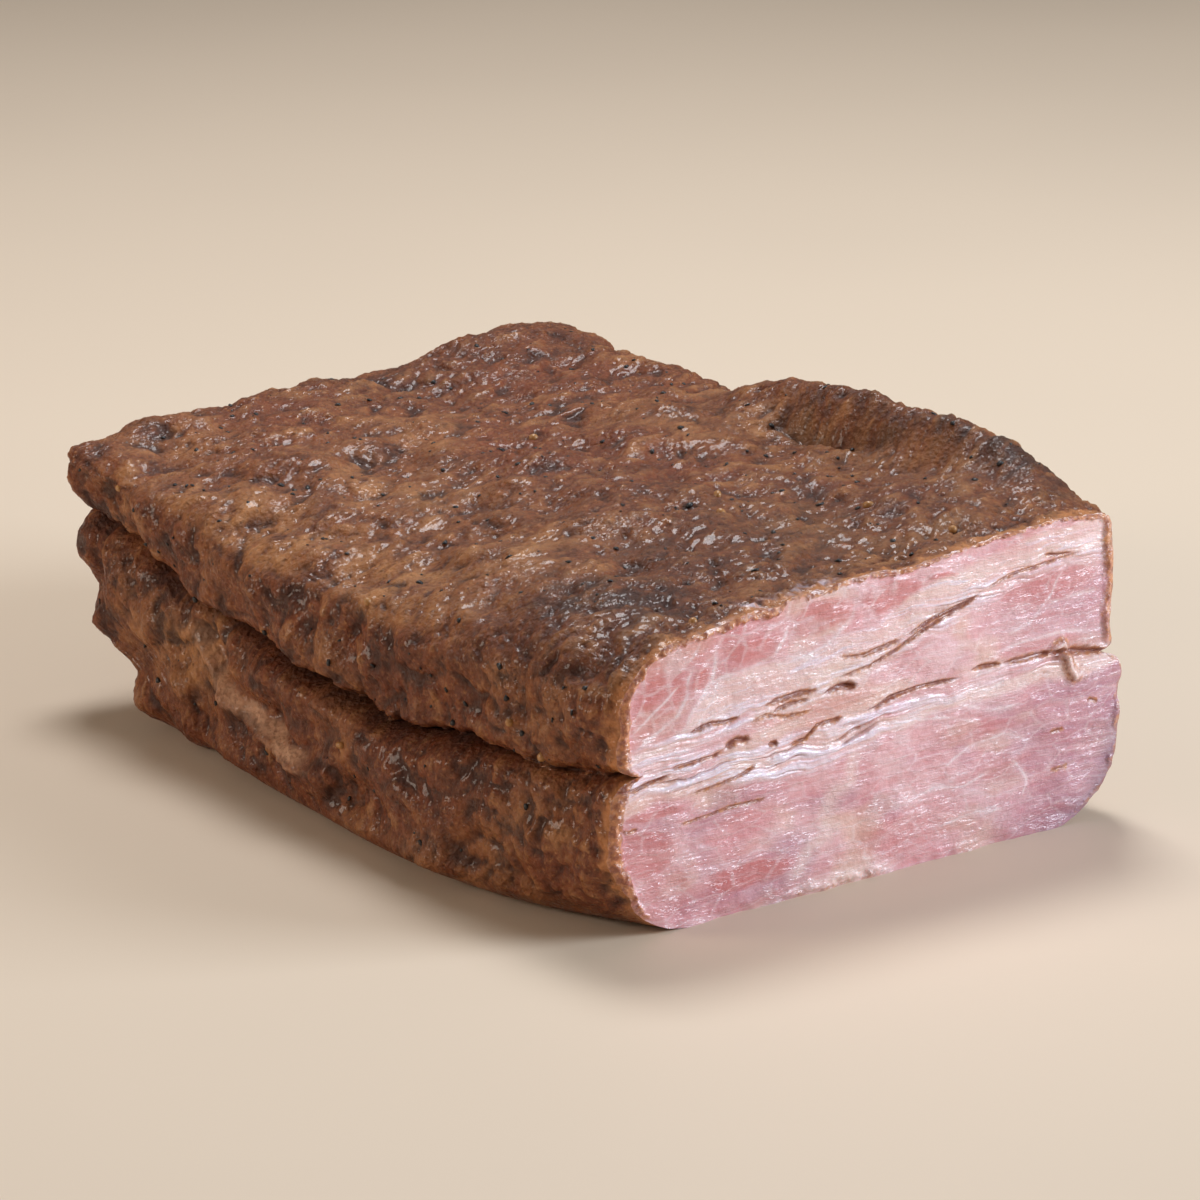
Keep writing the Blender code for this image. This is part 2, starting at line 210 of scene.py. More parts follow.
# The cut face's painted parts, as (across, height) points in millimetres
FAT_BAND_Y = (-68, -60, -52, -47, -43, -38, -30, -22, -16, -8, 2, 14, 21, 40, 64)
FAT_BAND_TOP = (36.5, 39.0, 41.0, 43.0, 48.0, 50.6, 51.5, 52.6, 52.0, 53.4, 54.8, 59.5, 62.2, 65.6, 68.0)
FAT_BAND_UNDER = (36.0, 37.2, 38.6, 39.6, 40.4, 41.0, 42.0, 43.0, 43.6, 44.4, 47.2, 51.2, 53.6, 58.8, 61.2)
WEBS = (
    (((-61, 39), (-56, 42), (-49, 45.6), (-46.4, 49.3), (-46.4, 52.5), (-45.3, 54.6)), 0.55),
    (((-47.5, 41.5), (-45.8, 45), (-43, 48.1), (-40.2, 50.9), (-39.7, 54.5), (-39.5, 57.5)), 0.7),
    (((-43, 49.1), (-38, 51.4), (-30.6, 51.8), (-25, 53.5), (-21.6, 57.1), (-20.5, 60)), 0.6),
    (((-21.5, 52.4), (-15.7, 51.6), (-10, 54), (-4.6, 57.5), (-3.4, 63)), 0.8),
    (((-60.5, 43.6), (-53, 48.2), (-48, 52)), 0.35),
    (((-38, 51.4), (-41.5, 45.5), (-44.6, 41.5)), 0.45),
    (((35, 42.2), (42.8, 43.7), (51.3, 43.8), (60, 42.6)), 0.5),
    (((46, 51), (54.6, 51.1), (62, 51.6)), 0.45),
    (((38, 46), (44, 48), (49, 52), (52, 57)), 0.35),
    (((29, 34.6), (33.9, 34.8), (39.5, 36.8)), 0.5),
    (((24.8, 33.2), (33.3, 30.1), (41.8, 29.8)), 0.5),
    (((2, 31), (12, 32.5), (22, 31), (30, 28)), 0.4),
    (((20, 20), (28, 23.5), (37, 24), (44, 21)), 0.4),
    (((8, 14), (18, 16), (26, 15), (33, 17)), 0.35),
    (((40, 18), (44, 13), (43, 9)), 0.4),
    (((20, 7), (30, 8.5), (38, 7.5)), 0.4),
)
FAT_BRANCH = ((-3, 32), (-4.7, 23), (-9.5, 20.4), (-11, 16.8), (-10.6, 12), (-15.6, 9), (-19, 5.5))
RED_CELLS = (
    ((-53, 50.5), (7.5, 4.6), 0.9),
    ((-56, 45.0), (6.0, 2.6), 0.7),
    ((-43.2, 52.4), (2.4, 2.6), 1.0),
    ((-30, 56.2), (9.0, 3.2), 0.8),
    ((-12, 59.0), (9.0, 3.8), 0.85),
    ((6, 60.2), (9.5, 3.0), 0.75),
    ((19, 62.3), (4.0, 1.0), 0.8),
    ((-31, 8.4), (12.0, 3.2), 0.9),
    ((-55, 26.2), (8.0, 1.3), 0.7),
    ((48, 55.0), (14.0, 4.0), 0.6),
    ((48, 42.2), (12.0, 2.0), 0.5),
    ((12, 8.0), (16.0, 5.0), 0.45),
    ((-58, 18.0), (10.0, 6.0), 0.75),
    ((-52, 10.0), (7.0, 4.0), 0.5),
    ((30, 26.0), (12.0, 3.0), 0.35),
)
# Cracks of the cut face: points, half width, depth, darkness
CRACKS = (
    (((-45.8, 41.2), (-40.7, 41.8), (-37.3, 41.4), (-33.9, 41.9)), 0.40, 1.3, 0.9),
    (((-27.1, 43.1), (-22, 43.5), (-17.3, 44), (-12.7, 43.8)), 0.55, 1.5, 0.7),
    (((-24.5, 41.2), (-20, 42.2), (-15.5, 42.4)), 0.45, 1.2, 0.7),
    (((-12.1, 42.6), (-7.4, 43.5), (-3.3, 43.3)), 0.85, 3.0, 1.0),
    (((-36.9, 35.8), (-33.9, 37.0), (-30.5, 36.5)), 0.75, 2.4, 0.95),
    (((-25.9, 34.6), (-23.3, 34.4)), 0.55, 1.6, 0.8),
    (((-31.1, 40.1), (-27.1, 40.9), (-21.3, 39.3), (-14, 39.6)), 0.30, 0.8, 0.5),
    (((-20.1, 33.3), (-16, 33.9), (-13.1, 36.2), (-6.7, 36.6)), 0.35, 1.2, 0.8),
    (((-68, 34.0), (-64, 32.6), (-59.6, 32.3), (-55.2, 32.8), (-51.3, 33.6)), 0.50, 1.6, 0.9),
    (((-51, 34.7), (-44.6, 34.9), (-39.5, 35.0), (-36.2, 36.0)), 0.30, 0.9, 0.5),
    (((-45.1, 28.3), (-38.3, 28.8), (-33.2, 29.6), (-28.7, 31.1)), 0.28, 0.8, 0.6),
    (((-48.5, 22), (-41.7, 22.9), (-36, 23.6), (-31.5, 23.6), (-26.3, 23.6)), 0.26, 0.7, 0.55),
    (((-63.5, 24.6), (-61.5, 23.4), (-59, 23.6)), 0.30, 0.6, 0.7),
    (((-7.7, 50.2), (-1, 49.3), (4.4, 49.9), (9.9, 50.9)), 0.40, 1.0, 0.6),
    (((9.9, 50.9), (19.4, 53.7), (24.9, 54.8), (31.4, 57.0)), 0.45, 1.5, 0.8),
    (((-7.6, 45.7), (-0.2, 46.6), (6.5, 48.6), (14.6, 51.3), (22.8, 53.8)), 0.40, 1.3, 0.7),
    (((31.4, 57), (38, 58.6), (47, 60), (58, 61)), 0.30, 0.8, 0.5),
    (((47.1, 61.9), (51.4, 61.4), (55.3, 61.0)), 0.40, 1.0, 0.8),
    (((0, 36.8), (6.1, 38.2), (12.2, 38.8), (19.8, 39.1), (24.6, 39.4)), 0.45, 1.8, 0.9),
    (((27.4, 40.2), (30.9, 40.3), (36.5, 39.6)), 0.40, 1.4, 0.9),
    (((37.2, 39.7), (45, 39.8), (50.1, 39.5), (57, 38.6), (68, 37.4)), 0.75, 2.4, 0.7),
    (((60.5, 27.5), (63.5, 26.6)), 0.40, 0.8, 0.9),
    (((50, 21.6), (54, 21.9)), 0.30, 0.5, 0.7),
    (((50.5, 13.3), (55.5, 13.7)), 0.35, 0.6, 0.7),
)
# A torn shred that hangs by the seam
SHRED = ((49.6, 39.9), (52.6, 41.0), (54.4, 38.6), (54.9, 35.6), (56.6, 33.2), (59.2, 33.4))

# Whole mustard seeds that show, as (x, y) on the top; the rest are drawn at random
SEED_PLACES = ((42.7, 10.7), (50.1, 6.3), (99.5, -39.5), (70.0, 30.0), (22.0, -64.0))

# The camera, worked out for a lens that takes in 14.4 degrees, in metres
CAMERA_PLACE = (0.81173, -0.59091, 0.345)
CAMERA_TURN = 53.5
CAMERA_DIP = 17.2
CAMERA_LENS = 141.99
CAMERA_SENSOR = 36.0
FLOOR_HALF = 4.0


def ease(low, high, at):
    """0 before low, 1 after high, and between them the S curve 3t^2 - 2t^3 of the share t."""
    share = np.clip((at - low) / (high - low), 0.0, 1.0)
    return share * share * (3.0 - 2.0 * share)


def unit(value):
    """The value, but no lower than 0 and no higher than 1."""
    return np.clip(value, 0.0, 1.0)


def strongest(*shares):
    """The largest of several shares at each point."""
    return np.maximum.reduce(shares)


def drawn(points, x, y, z):
    """The points with their axes scaled: noise on them is drawn out along an axis scaled down."""
    return points * np.array([x, y, z], float)


def blob(at, place, reach):
    """1 at a place and falling all round: e to the power of minus the squared way, in reaches."""
    return np.exp(-((((at - np.array(place)) / np.array(reach)) ** 2).sum(1)))


def bell(at, half_width):
    """1 at 0 and falling to both sides: e to the power of minus (at / half width) squared."""
    return np.exp(-((at / half_width) ** 2))


def plateau(at, start, full, full_end, end):
    """Rises from start to full, stays 1 until full_end and falls to 0 at end, each by the S curve."""
    return ease(start, full, at) * ease(end, full_end, at)


def through(at, stations, values):
    """A smooth curve through the values at the stations: a cubic between each two, with shared slopes."""
    stations, values = np.asarray(stations, float), np.asarray(values, float)
    slopes = np.gradient(values, stations)
    index = np.clip(np.searchsorted(stations, at) - 1, 0, len(stations) - 2)
    step = stations[index + 1] - stations[index]
    share = np.clip((at - stations[index]) / step, 0.0, 1.0)
    start, end = values[index], values[index + 1]
    square, cube = share**2, share**3
    return (
        start * (2 * cube - 3 * square + 1)
        + slopes[index] * step * (cube - 2 * square + share)
        + end * (3 * square - 2 * cube)
        + slopes[index + 1] * step * (cube - square)
    )


def lumps(points, wavelength, height, waves, seed):
    """Soft lumps: a sum of sine waves in seeded random directions, each near the given wavelength."""
    draw = np.random.default_rng(seed)
    total = np.zeros(len(points))
    for _ in range(waves):
        direction = draw.normal(size=3)
        direction /= np.linalg.norm(direction)
        length = wavelength * draw.uniform(0.7, 1.4)
        total += np.sin(points @ direction * (2 * math.pi / length) + draw.uniform(0, 2 * math.pi))
    return total * height * math.sqrt(2.0 / waves)


def lattice_numbers(cell, seed):
    """A fixed random whole number for each cell of a lattice, mixed from its three whole numbers."""
    whole = cell.astype(np.int64).astype(np.uint64)
    mixed = whole[:, 0] * np.uint64(374761393) + whole[:, 1] * np.uint64(668265263)
    mixed += whole[:, 2] * np.uint64(2246822519) + np.uint64(seed * 3266489917)
    mixed = (mixed ^ (mixed >> np.uint64(13))) * np.uint64(1274126177)
    mixed = (mixed ^ (mixed >> np.uint64(29))) * np.uint64(2654435761)
    return (mixed >> np.uint64(20)) & np.uint64(0xFFFFF)


def noise(points, wavelength, seed):
    """Soft noise from about -1 to 1, with no two waves alike.

    Each corner of a lattice cell has one of twelve directions. Its share is the way from the corner
    along that direction, and the eight shares are blended by 6t^5 - 15t^4 + 10t^3 of the place t in
    the cell.
    """
    at = points @ LATTICE_TURN / wavelength
    cell = np.floor(at)
    place = at - cell
    blend = place**3 * (place * (place * 6.0 - 15.0) + 10.0)
    total = np.zeros(len(points))
    for corner in product((0, 1), repeat=3):
        way = DIRECTIONS[(lattice_numbers(cell + corner, seed) % np.uint64(12)).astype(int)]
        weight = np.where(corner, blend, 1.0 - blend).prod(axis=1)
        total += weight * ((place - corner) * way).sum(axis=1)
    return total * 1.25


def layered(points, wavelength, seed, layers, fall=0.5):
    """Noise summed over layers, each at half the wavelength and lower by the fall; from -1 to 1."""
    total, weight, weights = np.zeros(len(points)), 1.0, 0.0
    for layer in range(layers):
        total += weight * noise(points, wavelength / 2**layer, seed + layer)
        weights += weight
        weight *= fall
    return total * 1.3 / weights**0.7


def billows(points, wavelength, seed, layers, fall=0.55):
    """Rounded lumps with sharp creases between: 3 times the noise's size less 1, summed over layers."""
    total, weight, weights = np.zeros(len(points)), 1.0, 0.0
    for layer in range(layers):
        total += weight * (3.0 * np.abs(noise(points, wavelength / 2**layer, seed + layer)) - 1.0)
        weights += weight
        weight *= fall
    return total / weights**0.7


def grains(points, size, seed):
    """Distance to the nearest grain, in grain sizes: one grain lies at random in each cell of a lattice."""
    at = points / size
    home = np.floor(at)
    nearest = np.full(len(points), 9.0)
    for offset in product((-1, 0, 1), repeat=3):
        cell = home + offset
        grain = np.stack([lattice_numbers(cell, seed + axis) for axis in range(3)], 1) / 0xFFFFF
        nearest = np.minimum(nearest, ((cell + grain - at) ** 2).sum(axis=1))
    return np.sqrt(nearest)


def between(along, stations, first, second, share):
    """Two curves along the piece and the place between them that a share from 0 to 1 gives."""
    start = through(along, stations, first)
    return start + (through(along, stations, second) - start) * share


def edge_radius(along, across, row):
    """The round edges' radius: each of the four long edges has its own, which shades into the others."""
    far = ease(0.3, 0.7, across)
    top = between(along, EDGE_STATIONS, RADIUS_TOP_NEAR, RADIUS_TOP_FAR, far)
    foot = between(along, EDGE_STATIONS, RADIUS_FOOT_NEAR, RADIUS_FOOT_FAR, far)
    return foot + (top - foot) * ease(SEAM_ROW - 0.08, SEAM_ROW + 0.08, row)


def rounded_block(share, inside=False):
    """Places points on a block with round edges, and gives the way each faces.

    A point near an edge is pulled back to an inner block and pushed out again by the edge's radius.
    The cut end keeps its sharp edge, and a point inside the cut face is pushed out only as far as it
    lay from the inner block.
    """
    size = np.array([LENGTH, WIDTH, HEIGHT])
    point = share * size
    radius = edge_radius(point[:, 0], share[:, 1], share[:, 2])
    low = np.stack([np.full(len(point), -1.0), radius, radius], 1)
    inner = np.clip(point, low, size - radius[:, None])
    out = point - inner
    facing = out / np.maximum(np.linalg.norm(out, axis=1), 1e-9)[:, None]
    reach = np.abs(out).max(1) if inside else radius
    return inner + facing * reach[:, None], facing


def top_height(along, across):
    """Height of the top: near edge to middle by the power 1.8 of the way, then up to the far edge."""
    near = through(along, TOP_STATIONS, TOP_NEAR)
    middle = through(along, TOP_STATIONS, TOP_MIDDLE)
    far = through(along, TOP_STATIONS, TOP_FAR)
    crown = 1.0 - (1.0 - np.clip(across / MIDDLE_ACROSS, 0.0, 1.0)) ** 1.8
    return near + (middle - near) * crown + (far - middle) * ease(MIDDLE_ACROSS, 0.95, across)


def seam_height(along, across):
    """Height of the lower seam: a line from the near to the far furrow, less a bell near the cut face."""
    sag = SEAM_SAG * bell(across - 0.33, 0.22) * ease(60.0, 0.0, along)
    return between(along, FURROW_STATIONS, FURROW_NEAR, FURROW_FAR, across) - sag


def fat_height(along, across):
    """Height of the upper seam: it leaves the lower one at the near side and climbs to the far top."""
    share = through(across, FAT_ACROSS, FAT_SHARE)
    climb = FAT_OVER_SEAM_NEAR + (FAT_OVER_SEAM_FAR - FAT_OVER_SEAM_NEAR) * share
    return seam_height(along, across) + climb


def sides(along, row):
    """Where the near and the far side stand at a row."""
    upper = ease(SEAM_ROW - 0.04, SEAM_ROW + 0.04, row)
    near = between(along, SIDE_STATIONS, NEAR_SIDE_LOWER, NEAR_SIDE_UPPER, upper)
    far = between(along, SIDE_STATIONS, FAR_SIDE_LOWER, FAR_SIDE_UPPER, upper)
    return near, far


def row_height(along, across, row):
    """Height of a row: 0, the two seams and the top, with even steps between them."""
    seam = seam_height(along, across)
    fat = fat_height(along, across)
    top = top_height(along, across)
    flat = seam * row / SEAM_ROW
    middle = seam + (fat - seam) * (row - SEAM_ROW) / (FAT_ROW - SEAM_ROW)
    point = fat + (top - fat) * (row - FAT_ROW) / (1.0 - FAT_ROW)
    return np.where(row < SEAM_ROW, flat, np.where(row < FAT_ROW, middle, point))


def end_shortening(along, across, height):
    """How far the back end draws in: the flat is undercut, most at the near corner."""
    near = through(height, END_HEIGHTS, END_SHORT_NEAR)
    far = END_SHORT_FAR * ease(50.0, 20.0, height)
    short = near + (far - near) * ease(0.0, 0.6, across)
    return short * ease(LENGTH - END_REACH, LENGTH, along)


def furrow_push(point, outward, along, across, seam):
    """The furrow round the sides: a valley falling off by e to the power of minus the distance."""
    upright = ease(0.75, 0.25, np.abs(outward[:, 2])) * ease(0.9, 0.3, outward[:, 0])
    depth_near = through(along, FURROW_STATIONS, FURROW_DEPTH_NEAR)
    depth = depth_near + (FURROW_DEPTH_FAR - depth_near) * ease(0.2, 0.8, across)
    over = point[:, 2] - seam
    reach = np.where(over > 0.0, FURROW_REACH_OVER, FURROW_REACH_UNDER)
    valley = depth * np.exp(-np.abs(over) / reach) * upright
    push = valley[:, None] * -outward
    push[:, 2] = valley * FURROW_RISE
    return push, valley


def fold_height(point, outward):
    """The fat fold on the near side: a valley over its line and a lip under it."""
    line = through(point[:, 0], FOLD_X, FOLD_Z)
    over = point[:, 2] - line
    shape = FOLD_LIP * bell(over + 0.5, 2.0) - FOLD_VALLEY * bell(over - 3.5, 2.6)
    ends = plateau(point[:, 0], FOLD_X[0] - 3, FOLD_X[0] + 8, FOLD_X[-1] - 8, FOLD_X[-1] + 6)
    return shape * ends * ease(0.4, 0.9, -outward[:, 1])


def top_relief(point, outward):
    """The roll along the far edge of the top, less the gash in front of it."""
    x, y = point[:, 0], point[:, 1]
    roll = ROLL_HEIGHT * bell(y - ROLL_Y, ROLL_HALF_WIDTH) * plateau(x, *ROLL_X)
    gash = GASH_DEPTH * bell(y - GASH_Y - GASH_TURN * x, GASH_HALF_WIDTH) * plateau(x, *GASH_X)
    return (roll - gash) * ease(0.0, 0.6, outward[:, 2])


def knob_height(point):
    """Lobes and hollows, each a bell round its place."""
    return sum(height * blob(point, place, reach) for place, reach, height in KNOBS)


def patches(point, table):
    """The strongest of a table's patches at each point: a bell round each centre, bent by noise."""
    bent = point[:, :2] - np.array(MIDDLE)
    bent = bent + 7.0 * np.stack([layered(point, 16.0, SEED_COLOUR + 30 + i, 3) for i in (0, 5)], 1)
    return strongest(*[strength * blob(bent, place, reach) for place, reach, strength in table])


def streaked(point, pull):
    """Points for noise that runs in streaks across the top, a little aslant."""
    return drawn(point, 1, pull, 1) + np.array([0.25, 0.0, 0.0]) * point[:, 1:2]


def fine_relief(point, outward, along):
    """The crust's own roughness, in millimetres: lumps, streaks, crags, pits and grain.

    Streaks are noise drawn out along Y on top and upwards on the sides. Crags are small grains that
    stand up, thickest by the cut face and in the dark patches, and pits are the low parts of noise.
    """
    up = ease(0.2, 0.75, outward[:, 2])
    bent = point + 2.2 * np.stack([noise(point, 11.0, SEED_GRAIN + i) for i in range(3)], 1)
    rim = ease(30.0, 3.0, along)
    edge = 0.25 + 0.75 * ease(0.0, 3.0, along)
    dark = patches(point, DARK_PATCHES) * up
    lumpy = billows(drawn(bent, 1, 0.75, 1), 8.0, SEED_GRAIN + 4, 3)
    broken = ease(-0.25, 0.45, layered(point, 15.0, SEED_GRAIN + 28, 2))
    crags = unit(1.0 - 1.25 * grains(bent, 2.2, SEED_GRAIN + 20))
    coarse = unit(1.0 - 1.2 * grains(drawn(bent, 1, 0.7, 1), 4.4, SEED_GRAIN + 24)) * broken
    grit = billows(bent, 2.1, SEED_GRAIN + 40, 2, 0.7)
    pits = 1.1 * np.minimum(layered(bent, 6.0, SEED_GRAIN + 30, 3) + 0.15, 0.0)
    streaks = layered(streaked(bent, 0.3), 3.0, SEED_GRAIN + 10, 3, 0.65)
    top = 0.34 * lumpy + 0.34 * streaks + 0.9 * crags * strongest(rim, 0.25 + 0.5 * dark) * edge + pits
    top += 0.7 * coarse + 0.17 * grit * (0.5 + 0.5 * strongest(rim, broken))
    strands = layered(drawn(bent, 1, 1, 0.4), 2.6, SEED_GRAIN + 50, 3, 0.65)
    creases = ridges(noise(drawn(bent, 0.6, 1, 1.2), 9.0, SEED_GRAIN + 54), 2.2)
    side = 0.42 * lumpy + 0.26 * strands + 0.5 * crags * (0.4 + rim) + 0.65 * coarse
    side += pits - 0.6 * creases**3 + 0.24 * grit
    return top * up + side * (1.0 - up)


def crust(share):
    """Where the browned outside lies before and after its relief, in millimetres, and what colours it.

    The block's place is stretched between the sides, the underside, the seams and the top. Lumps, the
    fold and the fine relief move it along its own facing, the furrow inwards and the roll upwards.
    """
    placed, facing = rounded_block(share)
    outward = facing * np.array([-1.0, 1.0, 1.0])
    point, along, across = stretched(placed)
    height = point[:, 2]
    off_foot = ease(0.5, 7.0, height)
    steep = ease(0.8, 0.2, np.abs(outward[:, 2]))
    soft = lumps(point, *BROAD_LUMPS) + lumps(point, *SMALL_LUMPS) + steep * lumps(point, *SIDE_LUMPS)
    soft = soft * (0.4 + 0.6 * ease(0.0, 12.0, along)) * off_foot
    soft += (fold_height(point, outward) + knob_height(point)) * ease(0.5, 5.0, height)
    fine = fine_relief(point, outward, along) * off_foot * (0.6 + 0.4 * ease(0.0, 3.0, along))
    torn = 1.1 * layered(drawn(point, 1, 1, 0), 9.0, SEED_GRAIN + 60, 3, 0.6)
    push, valley = furrow_push(point, outward, along, across, seam_height(along, across) + torn)
    fine = fine * (1.0 - 0.75 * ease(3.0, 9.0, valley))
    moved = point + push + outward * (soft + fine)[:, None]
    crumbled = layered(drawn(point, 0.3, 1, 1), 7.0, SEED_GRAIN + 70, 2)
    moved[:, 0] += 0.6 * crumbled * ease(3.0, 0.0, along)
    moved[:, 2] += top_relief(point, outward)
    moved[:, 2] = np.where(height < 0.05, 0.0, np.maximum(moved[:, 2], 0.0))
    paint = {"point": point, "outward": outward, "along": along, "fine": fine, "valley": valley}
    return point, moved, paint


def stretched(placed):
    """Stretches the round-edged block between the sides, underside, seams and top, in millimetres."""
    along, across, row = placed[:, 0], placed[:, 1] / WIDTH, placed[:, 2] / HEIGHT
    near, far = sides(along, row)
    height = row_height(along, across, row)
    x = CUT_X - along + end_shortening(along, across, height)
    return np.stack([x, near + (far - near) * across, height], 1), along, across


def in_place(moved):
    """Millimetres of the form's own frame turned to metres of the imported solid's."""
    return (moved - np.array([*MIDDLE, 0.0])) * MM


def graded(count):
    """Shares from 0 to 1 in steps that start fine and widen to an even width by the S curve."""
    steps = FINE_STEP + (WIDE_STEP - FINE_STEP) * ease(0.0, FINE_STEPS, np.arange(count) + 0.5)
    return np.concatenate([[0.0], np.cumsum(steps) / steps.sum()])


def block_steps():
    """The shares at which the block is meshed along, across, and up over and under the seam."""
    along = np.linspace(0.0, 1.0, STEPS_ALONG + 1)
    across = np.linspace(0.0, 1.0, STEPS_ACROSS + 1)
    over = SEAM_ROW + (1.0 - SEAM_ROW) * graded(STEPS_OVER_SEAM)
    under = SEAM_ROW * (1.0 - graded(STEPS_UNDER_SEAM))[::-1]
    return along, across, over, under


def sheet(first, second, build):
    """A grid over two lists of steps: its block shares, worked out by build, and its quads."""
    u, v = np.meshgrid(first, second, indexing="ij")
    share = np.stack(np.broadcast_arrays(*build(u, v)), -1).reshape(-1, 3)
    number = np.arange(u.size).reshape(u.shape)
    quads = np.stack([number[:-1, :-1], number[1:, :-1], number[1:, 1:], number[:-1, 1:]], -1)
    return share, quads.reshape(-1, 4)


def joined(sheets):
    """Several grids as one: points of the same block share become one point."""
    shares = np.concatenate([share for share, _ in sheets])
    starts = np.cumsum([0] + [len(share) for share, _ in sheets[:-1]])
    quads = np.concatenate([quad + start for (_, quad), start in zip(sheets, starts)])
    keys = np.round(shares * 1e7).astype(np.int64)
    _, first, index = np.unique(keys, axis=0, return_index=True, return_inverse=True)
    return shares[first], index.reshape(-1)[quads]


def side_sheets(along, across, rows):
    """Grids of the near side, the back end and the far side over a list of rows, all facing outwards."""
    near = sheet(rows, along, lambda r, a: (a, 0.0 * a, r))
    back = sheet(rows, across, lambda r, c: (1.0 + 0.0 * c, c, r))
    far = sheet(rows, along[::-1], lambda r, a: (a, 1.0 + 0.0 * a, r))
    return [near, back, far]


def finish_piece(name, points, faces, values, material):
    """Makes a piece: its mesh, its named values at each point, its material and its place in the frame."""
    mesh = bpy.data.meshes.new(name)
    mesh.from_pydata(points, [], faces)
    for label, numbers in values.items():
        layer = mesh.attributes.new(label, "FLOAT", "POINT")
        layer.data.foreach_set("value", np.asarray(numbers, np.float32))
    mesh.materials.append(material)
    mesh.shade_smooth()
    mesh.validate()
    piece = bpy.data.objects.new(name, mesh)
    bpy.context.scene.collection.objects.link(piece)
    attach(piece, BODY)
    return piece


def crust_values(paint):
    """The crust's colour shares: tan, red, dark, wet, height, fat, rim and pale.

    Each is a patch, a bell or an S curve of noise. The height share follows the fine relief, so that
    painted shade deepens the creases and painted light turns the lumps golden. The dark share also
    holds painted shade in the furrow and the gash, and the pale share partly painted glints at the rim.
    """
    point, outward, along = paint["point"], paint["outward"], paint["along"]
    x = point[:, 0]
    up = ease(0.2, 0.75, outward[:, 2])
    mottle = layered(point, 8.0, SEED_COLOUR, 4, 0.7)
    streaks = layered(streaked(point, 0.28), 4.0, SEED_COLOUR + 10, 3, 0.7)
    broad = layered(point, 28.0, SEED_COLOUR + 20, 2)
    tan = patches(point, TAN_PATCHES) * up + 0.35 * (1 - up) * ease(-0.2, 0.6, broad)
    tan += 0.75 * ease(0.5, 0.9, -outward[:, 1]) * bell(x + 60.0, 18.0) * bell(point[:, 2] - 25.0, 9.0)
    red = patches(point, RED_PATCHES) * up + 0.45 * (1 - up)
    in_gash = bell(point[:, 1] - GASH_Y - GASH_TURN * x + 0.3 + 0.8 * mottle, 1.9)
    dark = strongest(
        unit(patches(point, DARK_PATCHES) * up * (0.85 + 0.9 * streaks + 0.5 * mottle)),
        (0.15 + 0.4 * up) * ease(0.45, 0.95, -mottle - 0.5 * streaks),
        # Painted shade: the furrow's valley and the gash's slit are darkened where shade falls in them
        0.9 * ease(1.5, 6.5, paint["valley"]),
        0.95 * in_gash * plateau(x, *GASH_X) * (0.75 + 0.5 * mottle),
        0.9 * blob(point, *DARK_NOTCH) * (0.8 + 0.6 * mottle),
    )
    over = point[:, 2] - through(x, FOLD_X, FOLD_Z)
    strip = plateau(over + 0.6 * layered(point, 7.0, SEED_COLOUR + 50, 2), -0.2, 0.8, 1.8, 3.4)
    strip *= 0.35 + 0.65 * plateau(x, -56.0, -36.0, -14.0, -6.0)
    # The paler line along the fold's lip: partly its fat, partly painted light where the lip catches the
    # light
    strip = strongest(strip, 0.45 * bell(over + 0.6, 0.8))
    fat = strip * (0.75 + 0.25 * ease(-0.7, 0.3, mottle)) * plateau(x, -66.0, -58.0, -12.0, -2.0)
    return {
        "tan": unit(tan * (0.8 + 0.9 * mottle + 0.7 * streaks)),
        "red": unit(red * (0.8 + 0.9 * mottle)),
        "dark": dark,
        "wet": ease(-0.35, 0.45, layered(point, 6.0, SEED_COLOUR + 70, 3, 0.7)),
        # The relief's height, from which the material paints shade into the creases and light onto the lumps
        "raised": unit(0.5 + 0.55 * paint["fine"]),
        "fat": fat * ease(0.4, 0.8, -outward[:, 1]),
        "rim": ease(3.2, 0.3, along + 2.0 * layered(point, 3.0, SEED_COLOUR + 60, 2)),
        # Pale bits at the rim, partly painted glints
        "pale": patches(point, PALE_BITS_AND_GLINTS) * up * ease(-0.3, 0.3, layered(point, 2.4, SEED_COLOUR + 90, 2)),
    }


def line_distance(at, corners):
    """Distance to a chain of straight lines, and the share of the chain where its nearest point lies."""
    corners = np.asarray(corners, float)
    lengths = np.linalg.norm(np.diff(corners, axis=0), axis=1)
    nearest, place, run = np.full(len(at), 1e9), np.zeros(len(at)), 0.0
    for start, end, length in zip(corners[:-1], corners[1:], lengths):
        share = np.clip((at - start) @ (end - start) / length**2, 0.0, 1.0)
        distance = np.linalg.norm(at - start - share[:, None] * (end - start), axis=1)
        closer = distance < nearest
        nearest = np.where(closer, distance, nearest)
        place = np.where(closer, (run + share * length) / lengths.sum(), place)
        run += length
    return nearest, place


def ridges(values, sharpness):
    """Thin lines where noise passes 0: 1 less its size times the sharpness, and no lower than 0."""
    return unit(1.0 - sharpness * np.abs(values))


def cell_borders(across, height, size, seed):
    """0 on the borders between scattered cells: the second nearest centre's distance less the nearest's."""
    at = np.stack([across, height], 1) / size
    home = np.floor(at)
    first, second = np.full((2, len(at)), 9.0)
    for offset in product((-1, 0, 1), repeat=2):
        cell = home + offset
        key = np.column_stack([np.zeros(len(at)), cell])
        grain = np.stack([lattice_numbers(key, seed + axis) for axis in range(2)], 1) / 0xFFFFF
        distance = np.sqrt(((cell + grain - at) ** 2).sum(axis=1))
        second = np.minimum(second, np.maximum(first, distance))
        first = np.minimum(first, distance)
    return second - first


def web_lines(tight, broken):
    """White lines of fat: a sharp and a soft bell round each chain of lines, fading to its ends."""
    white = np.zeros(len(tight))
    for corners, half_width in WEBS:
        distance, place = line_distance(tight, corners)
        lines = 0.9 * bell(distance, 0.7 * half_width) + 0.35 * bell(distance, 3.2 * half_width)
        white = strongest(white, lines * plateau(place, -0.15, 0.2, 0.8, 1.15) * (0.45 + 0.55 * broken))
    return white


